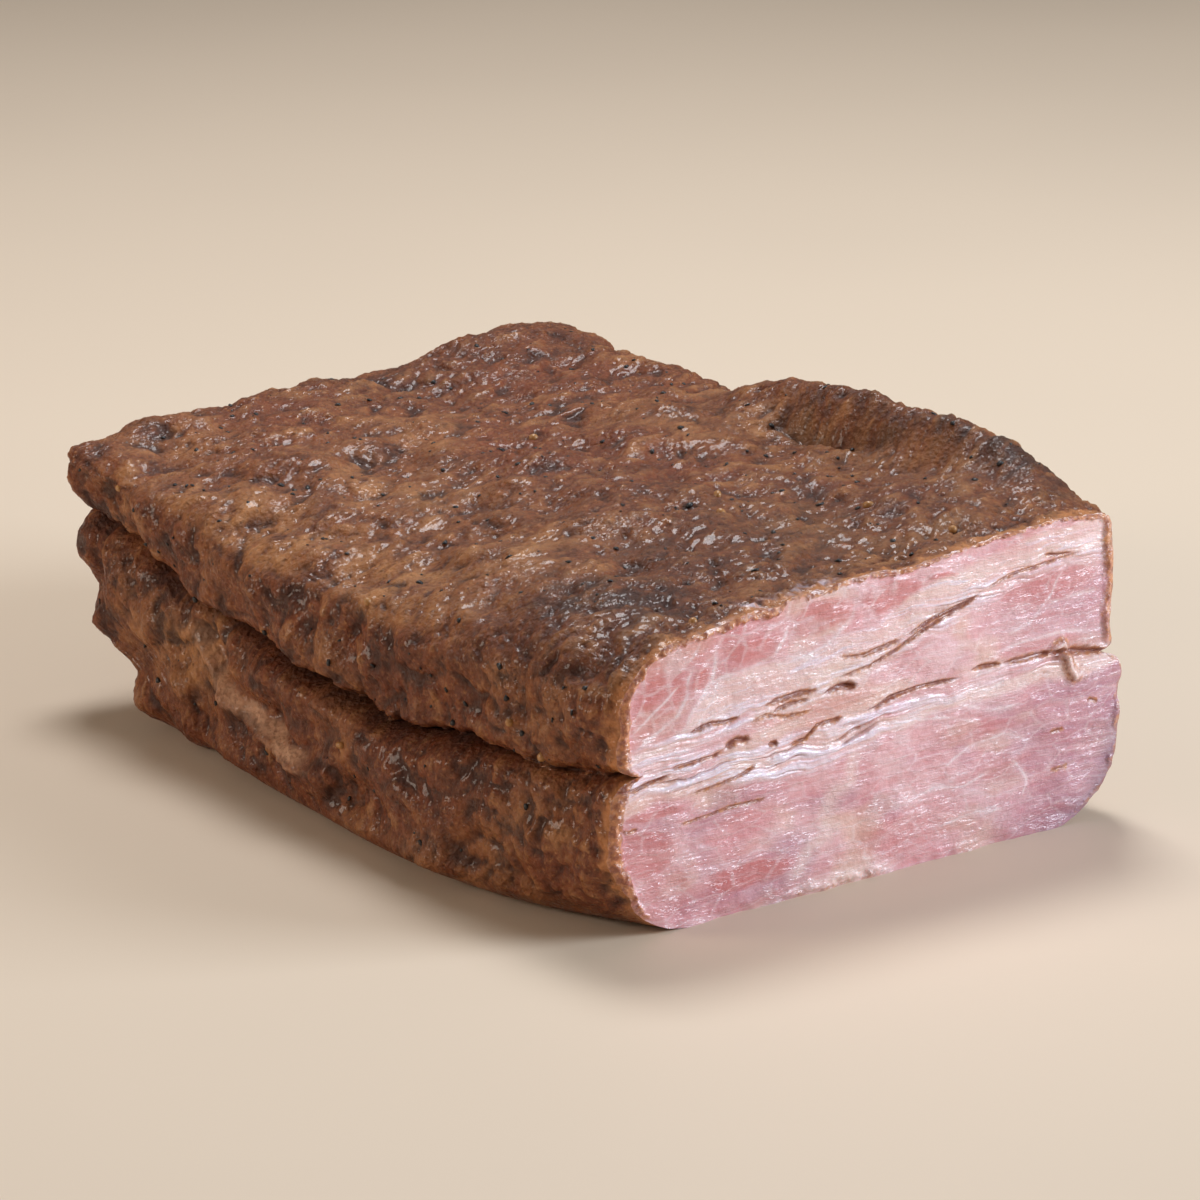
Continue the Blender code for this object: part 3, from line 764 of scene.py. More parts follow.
def crack_shares(tight, wavy):
    """The cracks' darkness, depth and tan edges: bells round their lines, widest at the middle of each."""
    dark, depth, tan = np.zeros((3, len(tight)))
    for corners, half_width, deep, darkness in CRACKS:
        distance, place = line_distance(tight, corners)
        gap = unit(plateau(place, -0.10, 0.25, 0.75, 1.10) * (0.8 + 0.5 * wavy))
        width = half_width * (0.25 + 0.65 * gap)
        depth = strongest(depth, 0.6 * deep * gap * bell(distance, 1.2 * width))
        dark = strongest(dark, darkness * bell(distance, 0.9 * width) * ease(0.05, 0.4, gap))
        tan = strongest(tan, 0.85 * bell(distance - 0.9 * width, 0.7 * width + 0.3) * ease(0.05, 0.5, gap))
    return dark, depth, tan


def cut_paint(y, z, rim_distance):
    """The cut face's colour shares and depth, in millimetres, at each place across and up.

    Muscle cells, fat lines and cracks are bells round listed spots and chains of lines, bent by noise.
    Fibres and flakes are noise drawn out along the width, and thin lines where it passes 0.
    """
    at = np.stack([np.zeros_like(y), y, z], 1)

    def cloud(wavelength, seed, layers, fall=0.5, space=at):
        """Layered noise of the cut face, on its own places or on another space."""
        return layered(space, wavelength, SEED_CUT + seed, layers, fall)

    calm = drawn(at, 1, 0.4, 1)
    bend = np.stack([cloud(13.0, seed, 3) for seed in (0, 3)], 1)
    bent = at[:, 1:] + 1.3 * bend
    tight = at[:, 1:] + 0.5 * np.stack([cloud(6.0, seed, 2, 0.5, calm) for seed in (40, 43)], 1)
    level = z - 0.07 * y + 1.1 * noise(calm, 8.0, SEED_CUT + 46) + 1.2 * bend[:, 1]
    fibre_space = np.stack([0.5 * level + 0.04 * y, 0.075 * y, 0.866 * level], 1)
    fibres = cloud(1.8, 50, 2, 0.7, fibre_space)
    broad_fibres = cloud(3.4, 60, 2, 0.5, drawn(fibre_space, 1, 1.4, 1))
    strands = strongest(
        ridges(noise(fibre_space, 1.9, SEED_CUT + 55), 5.0),
        0.7 * ridges(noise(fibre_space * 1.3, 1.2, SEED_CUT + 56), 4.0),
    )
    strands *= ease(-0.35, 0.35, cloud(7.0, 57, 2, 0.5, drawn(at, 1, 0.5, 1)))

    band_top = through(bent[:, 0], FAT_BAND_Y, FAT_BAND_TOP)
    band_under = through(bent[:, 0], FAT_BAND_Y, FAT_BAND_UNDER)
    band = ease(-1.2, 1.0, band_top - bent[:, 1]) * ease(-0.6, 0.8, bent[:, 1] - band_under)
    over_seam = bent[:, 1] - seam_height(0 * y, (y + MIDDLE[1] - NEAR_SIDE_UPPER[0]) / 130.0)
    over_band = bent[:, 1] - band_under
    left = ease(34.0, -6.0, y)
    low = ease(0.5, -2.5, over_seam)
    middle = ease(0.0, 1.0, over_seam) * ease(0.5, -0.5, over_band)
    upper = ease(-0.5, 1.5, bent[:, 1] - band_top)
    flakes = strongest(
        plateau(over_seam, -5.0, -2.0, 2.5, 5.0) * (0.35 + 0.65 * left),
        0.8 * plateau(over_band, -3.5, -1.0, 1.5, 4.0),
    )
    layers = cloud(2.0, 64, 3, 0.7, fibre_space)
    broken = ease(-0.45, 0.25, cloud(5.0, 120, 3))

    shred, place = line_distance(tight, SHRED)
    hanging = bell(shred, 1.0 + 0.5 * place) * plateau(place, -0.2, 0.1, 0.8, 1.1)
    fat = strongest(
        band * (0.75 + 0.35 * broad_fibres),
        0.7 * bell(line_distance(bent, FAT_BRANCH)[0], 1.8),
        0.85 * plateau(over_seam, -4.6, -2.6, -1.0, 0.2) * ease(-8.0, 4.0, y),
        0.7 * flakes * ease(-0.6, 0.3, broad_fibres),
        0.85 * bell(z - 1.5, 2.2) * plateau(y, -24, -14, 0, 12),
        hanging,
    )
    # Painted sheen: lilac-white on the wet flakes by the seams and on the fat band, standing in for the
    # window's reflection
    painted_sheen = strongest(
        flakes * ease(0.0, 0.55, layers + 0.25 * left),
        0.8 * band * ease(0.25, 0.7, layers),
    )
    upper_cells = cell_borders(bent[:, 0] * 0.75, bent[:, 1] - 0.25 * bent[:, 0], 5.0, SEED_CUT + 74)
    lower_cells = cell_borders(bent[:, 0] * 0.35, level, 4.2, SEED_CUT + 76)
    white = strongest(
        web_lines(tight, broken),
        0.55 * upper * ease(0.22, 0.0, upper_cells) * (0.3 + 0.7 * broken),
        0.4 * strongest(low, middle) * ease(0.11, 0.0, lower_cells),
        strands * (0.02 + 0.22 * low + 0.1 * middle + 0.4 * flakes),
    )
    red = strongest(
        *[strength * ease(0.0, 0.5, 1.15 - np.sqrt((((bent - place) / reach) ** 2).sum(1)))
          for place, reach, strength in RED_CELLS],
        0.5 * upper * ease(-6.0, -40.0, y),
        0.35 * ease(0.2, 0.7, broad_fibres) * strongest(low, middle),
    )
    grey = ease(10.0, 66.0, y) * ease(2.0, -2.0, over_seam) + 0.5 * ease(24.0, 62.0, y) * middle
    blue = 0.8 * ease(6.0, 0.5, rim_distance) * ease(34.0, 62.0, y) * ease(30.0, 14.0, z)
    purple = ease(-0.15, 0.55, cloud(14.0, 110, 3, 0.5, drawn(at, 1, 0.55, 1))) * (0.35 + 0.65 * low)
    purple = strongest(purple, 0.8 * bell(np.hypot((y + 30) / 14, (z - 6) / 5), 1.0))

    side_rim = strongest(ease(-54.0, -64.0, y), 0.5 * ease(54.0, 62.0, y) * ease(37.0, 41.0, z))
    rim_width = 1.0 + 3.4 * side_rim + 0.6 * ease(40.0, 60.0, z)
    ragged = rim_distance + 1.1 * cloud(4.0, 78, 4, 0.7)
    foot = bell(z - 0.8, 1.5) * plateau(y, -24.0, -16.0, 0.0, 8.0)
    rim = ease(1.0, 0.45, ragged / rim_width) * (0.55 + 0.45 * strongest(side_rim, ease(40.0, 56.0, z)))
    rim *= ease(7.0, 5.0, rim_distance) * strongest(ease(1.0, 5.0, z), side_rim, foot)
    dark, depth, crack_edge = crack_shares(tight, cloud(5.0, 80, 2, 0.5, calm))
    thin = ridges(noise(fibre_space + np.array([0, 3.1, 0.7]), 2.6, SEED_CUT + 84), 7.0)
    thin *= flakes * ease(-0.1, 0.4, cloud(6.0, 86, 2, 0.5, calm)) * ease(2.0, 5.0, rim_distance)
    shred_edge = 0.75 * bell(shred - 1.2, 0.7) * plateau(place, -0.1, 0.1, 0.9, 1.1)
    tan = strongest(rim, crack_edge, 0.6 * thin, shred_edge)
    # The dark spot at the hole under the shred is painted shadow
    dark = strongest(dark, 0.55 * thin**1.5, bell(np.hypot(y - 51.6, z - 38.4), 1.3))
    depth = strongest(depth, 0.5 * thin)

    relief = 0.09 * fibres * (1.0 - 0.6 * band) + 0.07 * cloud(2.0, 95, 2)
    relief += 0.35 * cloud(12.0, 99, 2) + 0.38 * flakes * layers
    relief += 0.15 * red + 0.05 * strands + 0.7 * tan * ease(7.0, 1.0, rim_distance)
    relief += 0.45 * rim * cloud(1.9, 104, 3, 0.7)
    relief += 1.3 * hanging + 0.9 * foot * (0.5 + cloud(5.0, 107, 3, 0.6))
    values = {
        "fat": fat,
        "white": white,
        "red": red,
        "grey": grey * (0.85 + 0.6 * broad_fibres),
        "blue": blue,
        "tan": tan,
        "dark": dark,
        "wet": ease(-0.4, 0.5, cloud(6.0, 90, 3) + 0.5 * flakes),
        "painted_sheen": painted_sheen,
        "purple": purple,
        "peach": ease(0.0, 0.6, cloud(11.0, 115, 3, 0.5, drawn(at, 1, 0.55, 1))),
    }
    return {name: unit(value) for name, value in values.items()}, depth - relief


def new_material(name):
    """An empty material's node tree with a Principled shader and its output."""
    material = bpy.data.materials.new(name)
    material.use_nodes = True
    tree = material.node_tree
    tree.nodes.clear()
    output = tree.nodes.new("ShaderNodeOutputMaterial")
    shader = tree.nodes.new("ShaderNodeBsdfPrincipled")
    tree.links.new(shader.outputs["BSDF"], output.inputs["Surface"])
    return material, tree, shader


def feed(tree, made, inputs):
    """Sets a node's inputs: a socket is linked, and anything else becomes the input's value."""
    for key, value in inputs.items():
        if isinstance(value, bpy.types.NodeSocket):
            tree.links.new(value, made.inputs[key])
        else:
            made.inputs[key].default_value = value


def node(tree, kind, output, inputs, **options):
    """The output socket of a new shader node with its options and inputs set."""
    made = tree.nodes.new("ShaderNode" + kind)
    for option, value in options.items():
        setattr(made, option, value)
    feed(tree, made, inputs)
    return made.outputs[output]


def object_place(tree, across=1.0):
    """The object's own coordinates, turned, with their way across scaled."""
    inputs = {"Vector": node(tree, "TexCoord", "Object", {}), "Scale": (1.0, across, 1.0)}
    return node(tree, "Mapping", "Vector", inputs | {"Rotation": TEXTURE_TURN})


def object_noise(tree, scale, detail=3.0, roughness=0.55, across=1.0):
    """Noise on the object's own coordinates, in waves per metre, and drawn out where across is small."""
    inputs = {"Vector": object_place(tree, across), "Scale": scale, "Detail": detail, "Roughness": roughness}
    return node(tree, "TexNoise", "Fac", inputs)


def value_of(tree, name):
    """The named value that the mesh carries at each point."""
    return node(tree, "Attribute", "Fac", {}, attribute_name=name)


def ranged(tree, source, low, high, to_low=0.0, to_high=1.0):
    """The source's range from low to high, clamped and turned to another range."""
    inputs = {"Value": source, "From Min": low, "From Max": high, "To Min": to_low, "To Max": to_high}
    return node(tree, "MapRange", "Result", inputs)


def calculated(tree, operation, first, second):
    """One step of arithmetic on two sockets or numbers."""
    return node(tree, "Math", "Value", {0: first, 1: second}, operation=operation)


def mixed(tree, factor, first, second):
    """Two colours mixed by a factor; each may be a socket or a colour."""
    inputs = {0: factor}
    for key, colour in ((6, first), (7, second)):
        inputs[key] = colour if isinstance(colour, bpy.types.NodeSocket) else (*colour[:3], 1.0)
    return node(tree, "Mix", 2, inputs, data_type="RGBA", clamp_factor=True)


def overlaid(tree, settings, colour, layers):
    """Lays colours over each other; a layer is a mesh value's name or a socket, a strength and a setting."""
    for source, strength, setting in layers:
        share = value_of(tree, source) if isinstance(source, str) else source
        factor = calculated(tree, "MULTIPLY", share, strength)
        colour = mixed(tree, factor, colour, getattr(settings, setting))
    return colour


def bumped(tree, shader, heights, socket="Normal"):
    """Chains bump nodes, one for each (height socket, strength, depth in metres), into the shader."""
    chain = {}
    for height, strength, distance in heights:
        inputs = {"Height": height, "Strength": strength, "Distance": distance}
        chain = {"Normal": node(tree, "Bump", "Normal", inputs | chain)}
    tree.links.new(chain["Normal"], shader.inputs[socket])


def bumpy_film(tree, shader, film, patches_scale, detail, low, high, depth):
    """Bumps of the wet coat alone: drawn-out noise, stronger in some patches than in others."""
    patchy = ranged(tree, object_noise(tree, patches_scale, detail), 0.42, 0.6, low, high)
    bumped(tree, shader, ((calculated(tree, "MULTIPLY", film, patchy), 1.0, depth),), "Coat Normal")


def crust_material(settings):
    """Browned crust: brown mottled with tan, red and char, with a wet gloss.

    Painted shade darkens its creases, furrow and gash, and painted light pales its lumps.
    """
    material, tree, shader = new_material("browned_crust")
    mottle = ranged(tree, object_noise(tree, 260, 5, 0.65), 0.38, 0.64)
    layers = (
        ("red", 0.7, "crust_red"),
        ("tan", 0.85, "tan_and_painted_light"),
        # Painted light: the raised lumps turn paler golden
        (ranged(tree, value_of(tree, "raised"), 0.55, 0.95), 0.65, "tan_and_painted_light"),
        (ranged(tree, object_noise(tree, 1000, 3), 0.56, 0.70), 0.5, "tan_and_painted_light"),
        (ranged(tree, object_noise(tree, 760, 3, 0.6), 0.42, 0.30), 0.5, "fleck_and_crease_shade"),
        # Char, and painted shade in the furrow and the gash
        ("dark", 0.85, "char_and_shade"),
        # Painted shade: the low creases turn deep brown
        (ranged(tree, value_of(tree, "raised"), 0.46, 0.12), 0.85, "fleck_and_crease_shade"),
        ("fat", 0.85, "fat_browned"),
        ("rim", 0.65, "rim_tan"),
        # Pale bits and painted glints at the rim
        ("pale", 0.8, "pale_sheen"),
    )
    colour = overlaid(tree, settings, mixed(tree, mottle, settings.crust_deep, settings.crust_brown), layers)
    gloss = calculated(tree, "ADD", calculated(tree, "MULTIPLY", value_of(tree, "wet"), -0.26), 0.62)
    speckled = ranged(tree, object_noise(tree, 700, 2), 0.3, 0.7, -0.12, 0.12)
    feed(tree, shader, {
        "Base Color": colour,
        "Roughness": calculated(tree, "ADD", gloss, speckled),
        "Specular IOR Level": 0.35,
        "Coat Weight": 0.26,
        "Coat Roughness": 0.1,
        "Subsurface Weight": 0.06,
        "Subsurface Radius": (1.0, 0.35, 0.2),
        "Subsurface Scale": 0.0015,
    })
    fine = object_noise(tree, 1300, 4, 0.65)
    fibre = object_noise(tree, 520, 4, 0.65, 0.35)
    pebble = node(tree, "TexVoronoi", "Distance", {"Vector": object_place(tree), "Scale": 750})
    bumped(tree, shader, ((fibre, 0.9, 0.0009), (pebble, 0.6, 0.0007), (fine, 0.8, 0.0005)))
    bumpy_film(tree, shader, object_noise(tree, 900, 1, 0.5, 0.6), 60, 3, 0.15, 1.5, 0.00045)
    return material


def cut_material(settings):
    """Moist cut meat: pink muscle with redder cells, grey far end, cream fat, white lines and tan cracks."""
    material, tree, shader = new_material("cut_meat")
    clouds = ranged(tree, object_noise(tree, 120, 5, 0.6, 0.6), 0.36, 0.62)
    off_middle = calculated(tree, "SUBTRACT", object_noise(tree, 520, 4, 0.6, 0.11), 0.5)
    lines = ranged(tree, calculated(tree, "ABSOLUTE", off_middle, 0.0), 0.035, 0.0)
    layers = (
        ("peach", 0.7, "meat_peach"),
        ("purple", 0.5, "meat_grey"),
        ("grey", 0.8, "meat_grey"),
        ("red", 0.95, "meat_red"),
        ("fat", 0.85, "fat_cream"),
        (lines, 0.12, "fat_white"),
        (ranged(tree, object_noise(tree, 1300, 3, 0.6, 0.4), 0.62, 0.74), 0.3, "fat_white"),
        ("white", 0.7, "fat_white"),
        # Painted sheen: lilac-white on the flakes by the seams and on the fat band
        ("painted_sheen", 0.75, "pale_sheen"),
        ("blue", 0.6, "meat_edge"),
    )
    colour = overlaid(tree, settings, mixed(tree, clouds, settings.meat_pink, settings.meat_pale), layers)
    frayed = ranged(tree, object_noise(tree, 900, 4, 0.65), 0.3, 0.7, -0.35, 0.35)
    frayed = ranged(tree, calculated(tree, "ADD", value_of(tree, "tan"), frayed), 0.2, 0.9, 0.0, 0.9)
    browned = ranged(tree, object_noise(tree, 700, 3), 0.38, 0.62)
    colour = mixed(tree, frayed, colour, mixed(tree, browned, settings.rim_tan, settings.rim_deep))
    gloss = calculated(tree, "ADD", calculated(tree, "MULTIPLY", value_of(tree, "wet"), -0.2), 0.5)
    in_cracks = calculated(tree, "MULTIPLY", value_of(tree, "dark"), 0.3)
    feed(tree, shader, {
        "Base Color": mixed(tree, value_of(tree, "dark"), colour, settings.crack_and_shadow),
        "Roughness": calculated(tree, "ADD", gloss, in_cracks),
        "Coat Weight": 0.75,
        "Coat Roughness": 0.15,
        "Subsurface Weight": 0.2,
        "Subsurface Radius": (1.0, 0.35, 0.25),
        "Subsurface Scale": 0.002,
    })
    fibre = object_noise(tree, 900, 4, 0.65, 0.13)
    fine = object_noise(tree, 1500, 3, 0.6)
    bumped(tree, shader, ((fibre, 0.5, 0.0005), (lines, 0.3, 0.0003), (fine, 0.35, 0.0003)))
    bumpy_film(tree, shader, object_noise(tree, 520, 3, 0.6, 0.3), 70, 2, 0.4, 1.4, 0.0013)
    return material


def spice_material(name, colour, deep, rough):
    """A grain of spice: one colour broken by a deeper one, with a slightly rough surface."""
    material, tree, shader = new_material(name)
    broken = ranged(tree, object_noise(tree, 1600, 3), 0.35, 0.65)
    shade = mixed(tree, broken, colour, deep)
    feed(tree, shader, {"Base Color": shade, "Roughness": rough, "Coat Weight": 0.3, "Coat Roughness": 0.2})
    bumped(tree, shader, ((object_noise(tree, 2500, 3), 0.4, 0.0002),))
    return material


def shared_material(name, make):
    """The material of this name, made once from the settings."""
    return bpy.data.materials.get(name) or make(bpy.context.scene.brisket)


def srgb(red, green, blue):
    """A colour given as it looks on a screen, 0 to 255, turned to light: the power 2.2 of each share."""
    return tuple((channel / 255.0) ** 2.2 for channel in (red, green, blue))


def colour_property(name, description, *screen):
    """A colour setting, given as it looks on a screen."""
    return FloatVectorProperty(
        name=name, description=description, default=srgb(*screen), subtype="COLOR", size=3, min=0.0, max=1.0
    )


def power_property(name, default):
    """A setting for the power of a light."""
    return FloatProperty(name=name, description="Power of this light", default=default, unit="POWER")


class BrisketSettings(PropertyGroup):
    """Sizes and colours that a user would change."""

    crust_brown: colour_property("Crust", "Browned crust", 138, 78, 44)
    crust_deep: colour_property("Crust, deep", "Browned crust where it is darker", 100, 51, 29)
    crust_red: colour_property("Crust, red", "Reddish parts of the crust", 126, 59, 32)
    # Caramel tan, also used as painted light on the raised lumps and the roll's front
    tan_and_painted_light: colour_property("Crust, tan", "Pale caramel parts of the crust", 190, 132, 84)
    # Char colour, also used as painted shade in the furrow and the gash
    char_and_shade: colour_property("Char", "Darkest parts of the crust", 54, 28, 22)
    # Deep brown flecks, and painted shade at the bottoms of the creases
    fleck_and_crease_shade: colour_property("Crease", "Bottoms of the crust's creases", 62, 30, 18)
    fat_browned: colour_property("Browned fat", "Strip of fat on the near side", 228, 176, 142)
    rim_tan: colour_property("Rim", "Browned rim of the cut face and edges of its cracks", 216, 144, 90)
    meat_pink: colour_property("Meat", "Cut muscle", 224, 152, 158)
    meat_pale: colour_property("Meat, pale", "Cut muscle where it is paler", 238, 192, 196)
    meat_peach: colour_property("Meat, peach", "Cut muscle where it is yellower", 232, 192, 174)
    meat_red: colour_property("Meat, red", "Deeper pink cells of the cut muscle", 206, 114, 112)
    meat_grey: colour_property("Meat, grey", "Cut muscle towards the far end", 174, 112, 134)
    meat_edge: colour_property("Meat, edge", "Outermost far edge of the cut muscle", 128, 112, 132)
    fat_cream: colour_property("Fat", "Soft fat between the muscles", 242, 210, 202)
    fat_white: colour_property("Fat, white", "Fine lines of fat", 246, 228, 232)
    # Painted sheen on the cut's flakes and fat band, and painted glints on the crust's pale rim bits
    pale_sheen: colour_property("Flake", "Pale flakes along the seams", 244, 232, 250)
    rim_deep: colour_property("Rim, deep", "Rim of the cut face where it is darker", 150, 80, 44)
    # Inside of a crack, and painted shadow in the hole under the shred
    crack_and_shadow: colour_property("Crack", "Inside of a crack", 128, 52, 26)
    pepper: colour_property("Pepper", "Cracked black pepper", 38, 34, 36)
    mustard: colour_property("Mustard seed", "Whole yellow mustard seed", 178, 128, 76)
    pepper_count: IntProperty(name="Pepper", description="Bits of pepper", default=420, min=0, max=900)
    pepper_size: FloatProperty(
        name="Pepper size", description="Width of a bit of pepper", default=0.0015, unit="LENGTH"
    )
    seed_size: FloatProperty(
        name="Seed size", description="Width of a mustard seed", default=0.0022, unit="LENGTH"
    )
    seed_count: IntProperty(name="Seeds", description="Mustard seeds besides the placed ones", default=6)
    key_power: power_property("Window light", 17.0)
    fill_power: power_property("Top light", 8.0)
    side_power: power_property("Near side's light", 3.8)
    floor: colour_property("Floor", "Plain pale floor", 226, 208, 186)


def build_crust(name, sheets, extra_faces=None):
    """One piece of crust from its grids of block shares."""
    share, quads = joined(sheets)
    _, moved, paint = crust(share)
    faces = quads.tolist()
    if extra_faces is not None:
        faces += extra_faces(share)
    material = shared_material("browned_crust", crust_material)
    piece = finish_piece(name, in_place(moved), faces, crust_values(paint), material)
    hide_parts(NODE)


class BRISKET_OT_top_crust(Operator):
    """Builds the top: the crust over the point muscle, with its roll and gash."""

    bl_idname = "brisket.top_crust"
    bl_label = "Top crust"

    def execute(self, context):
        along, across, _, _ = block_steps()
        top = sheet(across, along, lambda c, a: (a, c, 1.0 + 0.0 * a))
        build_crust("top_crust", [top])
        return {"FINISHED"}


class BRISKET_OT_upper_sides(Operator):
    """Builds the sides and the back end of the point, from the furrow up to the top."""

    bl_idname = "brisket.upper_sides"
    bl_label = "Upper sides"

    def execute(self, context):
        along, across, over, _ = block_steps()
        build_crust("upper_sides", side_sheets(along, across, over))
        return {"FINISHED"}


class BRISKET_OT_lower_crust(Operator):
    """Builds the flat: its sides and back end under the furrow, and the whole underside."""

    bl_idname = "brisket.lower_crust"
    bl_label = "Lower crust"

    def execute(self, context):
        along, across, _, under = block_steps()
        border = np.concatenate([
            np.stack([along[:-1], 0 * along[:-1]], 1),
            np.stack([1 + 0 * across[:-1], across[:-1]], 1),
            np.stack([along[:0:-1], 1 + 0 * along[:0:-1]], 1),
            np.stack([0 * across, across[::-1]], 1),
        ])
        rings = np.linspace(UNDERSIDE_INNER, 1.0, UNDERSIDE_RINGS + 1)
        numbers = np.arange(len(border))

        def ring_place(scale, number):
            edge = border[number.astype(int)]
            return 0.5 + (edge[..., 0] - 0.5) * scale, 0.5 + (edge[..., 1] - 0.5) * scale, 0.0 * scale

        underside = sheet(rings, numbers, ring_place)
        inner = 0.5 + (border[:-1] - 0.5) * UNDERSIDE_INNER

        def flat_face(share):
            """The flat middle of the underside: the innermost ring as one face."""
            keys = {tuple(key): i for i, key in enumerate(np.round(share * 1e7).astype(np.int64).tolist())}
            loop = np.round(np.column_stack([inner, np.zeros(len(inner))]) * 1e7).astype(np.int64)
            return [[keys[tuple(key)] for key in loop.tolist()][::-1]]

        build_crust("lower_crust", side_sheets(along, across, under) + [underside], flat_face)
        return {"FINISHED"}


def refined(steps, parts):
    """The same steps, each cut into a number of equal parts."""
    return np.interp(np.arange((len(steps) - 1) * parts + 1) / parts, np.arange(len(steps)), steps)


def rim_moves(share, parts):
    """How the relief moves points of the cut's rim; those in between stay straight between the crust's."""
    before, after, _ = crust(share)
    numbers = np.arange(len(share))
    placed = np.stack([np.interp(numbers, numbers[::parts], axis) for axis in after[::parts].T], 1)
    return placed - before


def softened(run, reach):
    """A run of moves without its short waves: each end fixed, and the rest a mean over the reach each way."""
    line = run[:1] + (run[-1:] - run[:1]) * np.linspace(0.0, 1.0, len(run))[:, None]
    off = np.pad(run - line, ((reach, reach), (0, 0)))
    total = np.cumsum(np.pad(off, ((1, 0), (0, 0))), axis=0)
    fade = np.minimum(1.0, np.minimum(np.arange(len(run)), np.arange(len(run))[::-1]) / reach)[:, None]
    width = 2 * reach + 1
    return line + (total[width:] - total[:-width]) / width * fade


def drawn_in(rows, columns, sides_moved, levels_moved, reach):
    """The rim's moves carried into the cut face, fading over the reach, with the corners taken once."""
    pull = np.zeros((len(rows), len(columns), 3))
    for side in (0, 1):
        beside = ease(reach, 0.0, np.abs(columns - side)[:, None])[None]
        level = ease(2.0 * reach, 0.0, np.abs(rows - side)[:, None])[:, None]
        pull += beside * sides_moved[side][:, None, :] + level * levels_moved[side][None, :, :]
        for end in (0, 1):
            corner = ease(2.0 * reach, 0.0, np.abs(rows - end)[:, None])[:, None]
            pull -= beside * corner * sides_moved[side][-end][None, None, :]
    return pull


def rim_pull(rows, columns):
    """How the rim draws the cut face along: its broad moves reach far in and its short waves a little."""
    still_rows, still_columns = np.zeros(len(rows)), np.zeros(len(columns))
    side_runs = [np.stack([still_rows, still_rows + end, rows], 1) for end in (0, 1)]
    level_runs = [np.stack([still_columns, columns, still_columns + end], 1) for end in (0, 1)]
    sides_moved = [rim_moves(run, CUT_ROW_PARTS) for run in side_runs]
    levels_moved = [rim_moves(run, CUT_COLUMN_PARTS) for run in level_runs]
    soft_sides = [softened(run, SOFTENED_ROWS) for run in sides_moved]
    soft_levels = [softened(run, SOFTENED_COLUMNS) for run in levels_moved]
    sharp_sides = [run - soft for run, soft in zip(sides_moved, soft_sides)]
    sharp_levels = [run - soft for run, soft in zip(levels_moved, soft_levels)]
    pull = drawn_in(rows, columns, soft_sides, soft_levels, np.array(BROAD_PULL))
    return pull + drawn_in(rows, columns, sharp_sides, sharp_levels, np.array(SHORT_PULL))


class BRISKET_OT_cut_face(Operator):
    """Builds the cut face: two muscles with their fat, fibres and cracks, drawn along by its rim."""

    bl_idname = "brisket.cut_face"
    bl_label = "Cut face"

    def execute(self, context):
        _, across, over, under = block_steps()
        rows = refined(np.concatenate([under, over[1:]]), CUT_ROW_PARTS)
        columns = refined(across, CUT_COLUMN_PARTS)
        share, quads = sheet(rows, columns, lambda r, c: (0.0 * c, c, r))
        placed, _ = rounded_block(share, inside=True)
        grid = stretched(placed)[0].reshape(len(rows), len(columns), 3)
        moved = (grid + rim_pull(rows, columns)).reshape(-1, 3)
        inner = np.minimum(share[:, 1], 1 - share[:, 1]) * WIDTH
        rim_distance = np.minimum(inner, np.minimum(share[:, 2], 1 - share[:, 2]) * HEIGHT)
        values, depth = cut_paint(moved[:, 1] - MIDDLE[1], moved[:, 2], rim_distance)
        moved[:, 0] -= np.maximum(depth, -HIGHEST_FLAKE) * ease(0.0, 1.5, rim_distance)
        material = shared_material("cut_meat", cut_material)
        seam = CUT_ROW_PARTS * STEPS_UNDER_SEAM
        start, under_quads = seam * len(columns), seam * (len(columns) - 1)
        muscles = (
            ("cut_flat", slice(0, start + len(columns)), quads[:under_quads]),
            ("cut_point", slice(start, None), quads[under_quads:] - start),
        )
        for name, kept, faces in muscles:
            own = {label: numbers[kept] for label, numbers in values.items()}
            piece = finish_piece(name, in_place(moved[kept]), faces.tolist(), own, material)
            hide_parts(NODE)
        return {"FINISHED"}


def icosahedron():
    """The twelve corners and twenty faces of a regular solid with triangular faces, radius 1."""
    golden = (1 + math.sqrt(5)) / 2
    corners = np.array(
        [(-1, golden, 0), (1, golden, 0), (-1, -golden, 0), (1, -golden, 0)]
        + [(0, -1, golden), (0, 1, golden), (0, -1, -golden), (0, 1, -golden)]
        + [(golden, 0, -1), (golden, 0, 1), (-golden, 0, -1), (-golden, 0, 1)],
        float,
    )
    faces = [
        (0, 11, 5), (0, 5, 1), (0, 1, 7), (0, 7, 10), (0, 10, 11),
        (1, 5, 9), (5, 11, 4), (11, 10, 2), (10, 7, 6), (7, 1, 8),
        (3, 9, 4), (3, 4, 2), (3, 2, 6), (3, 6, 8), (3, 8, 9),
        (4, 9, 5), (2, 4, 11), (6, 2, 10), (8, 6, 7), (9, 8, 1),
    ]
    return corners / np.linalg.norm(corners[0]), np.array(faces)


def halved_faces(corners, faces):
    """Each triangle cut into four by the middles of its sides, pushed out to radius 1."""
    edges = np.sort(np.concatenate([faces[:, [0, 1]], faces[:, [1, 2]], faces[:, [2, 0]]]), axis=1)
    unique, index = np.unique(edges, axis=0, return_inverse=True)
    middle = corners[unique].mean(axis=1)
    middle /= np.linalg.norm(middle, axis=1)[:, None]
    ab, bc, ca = (index.reshape(3, -1) + len(corners))
    a, b, c = faces.T
    parts = [np.stack(trio, 1) for trio in ((a, ab, ca), (ab, b, bc), (ca, bc, c), (ab, bc, ca))]
    return np.concatenate([corners, middle]), np.concatenate(parts)


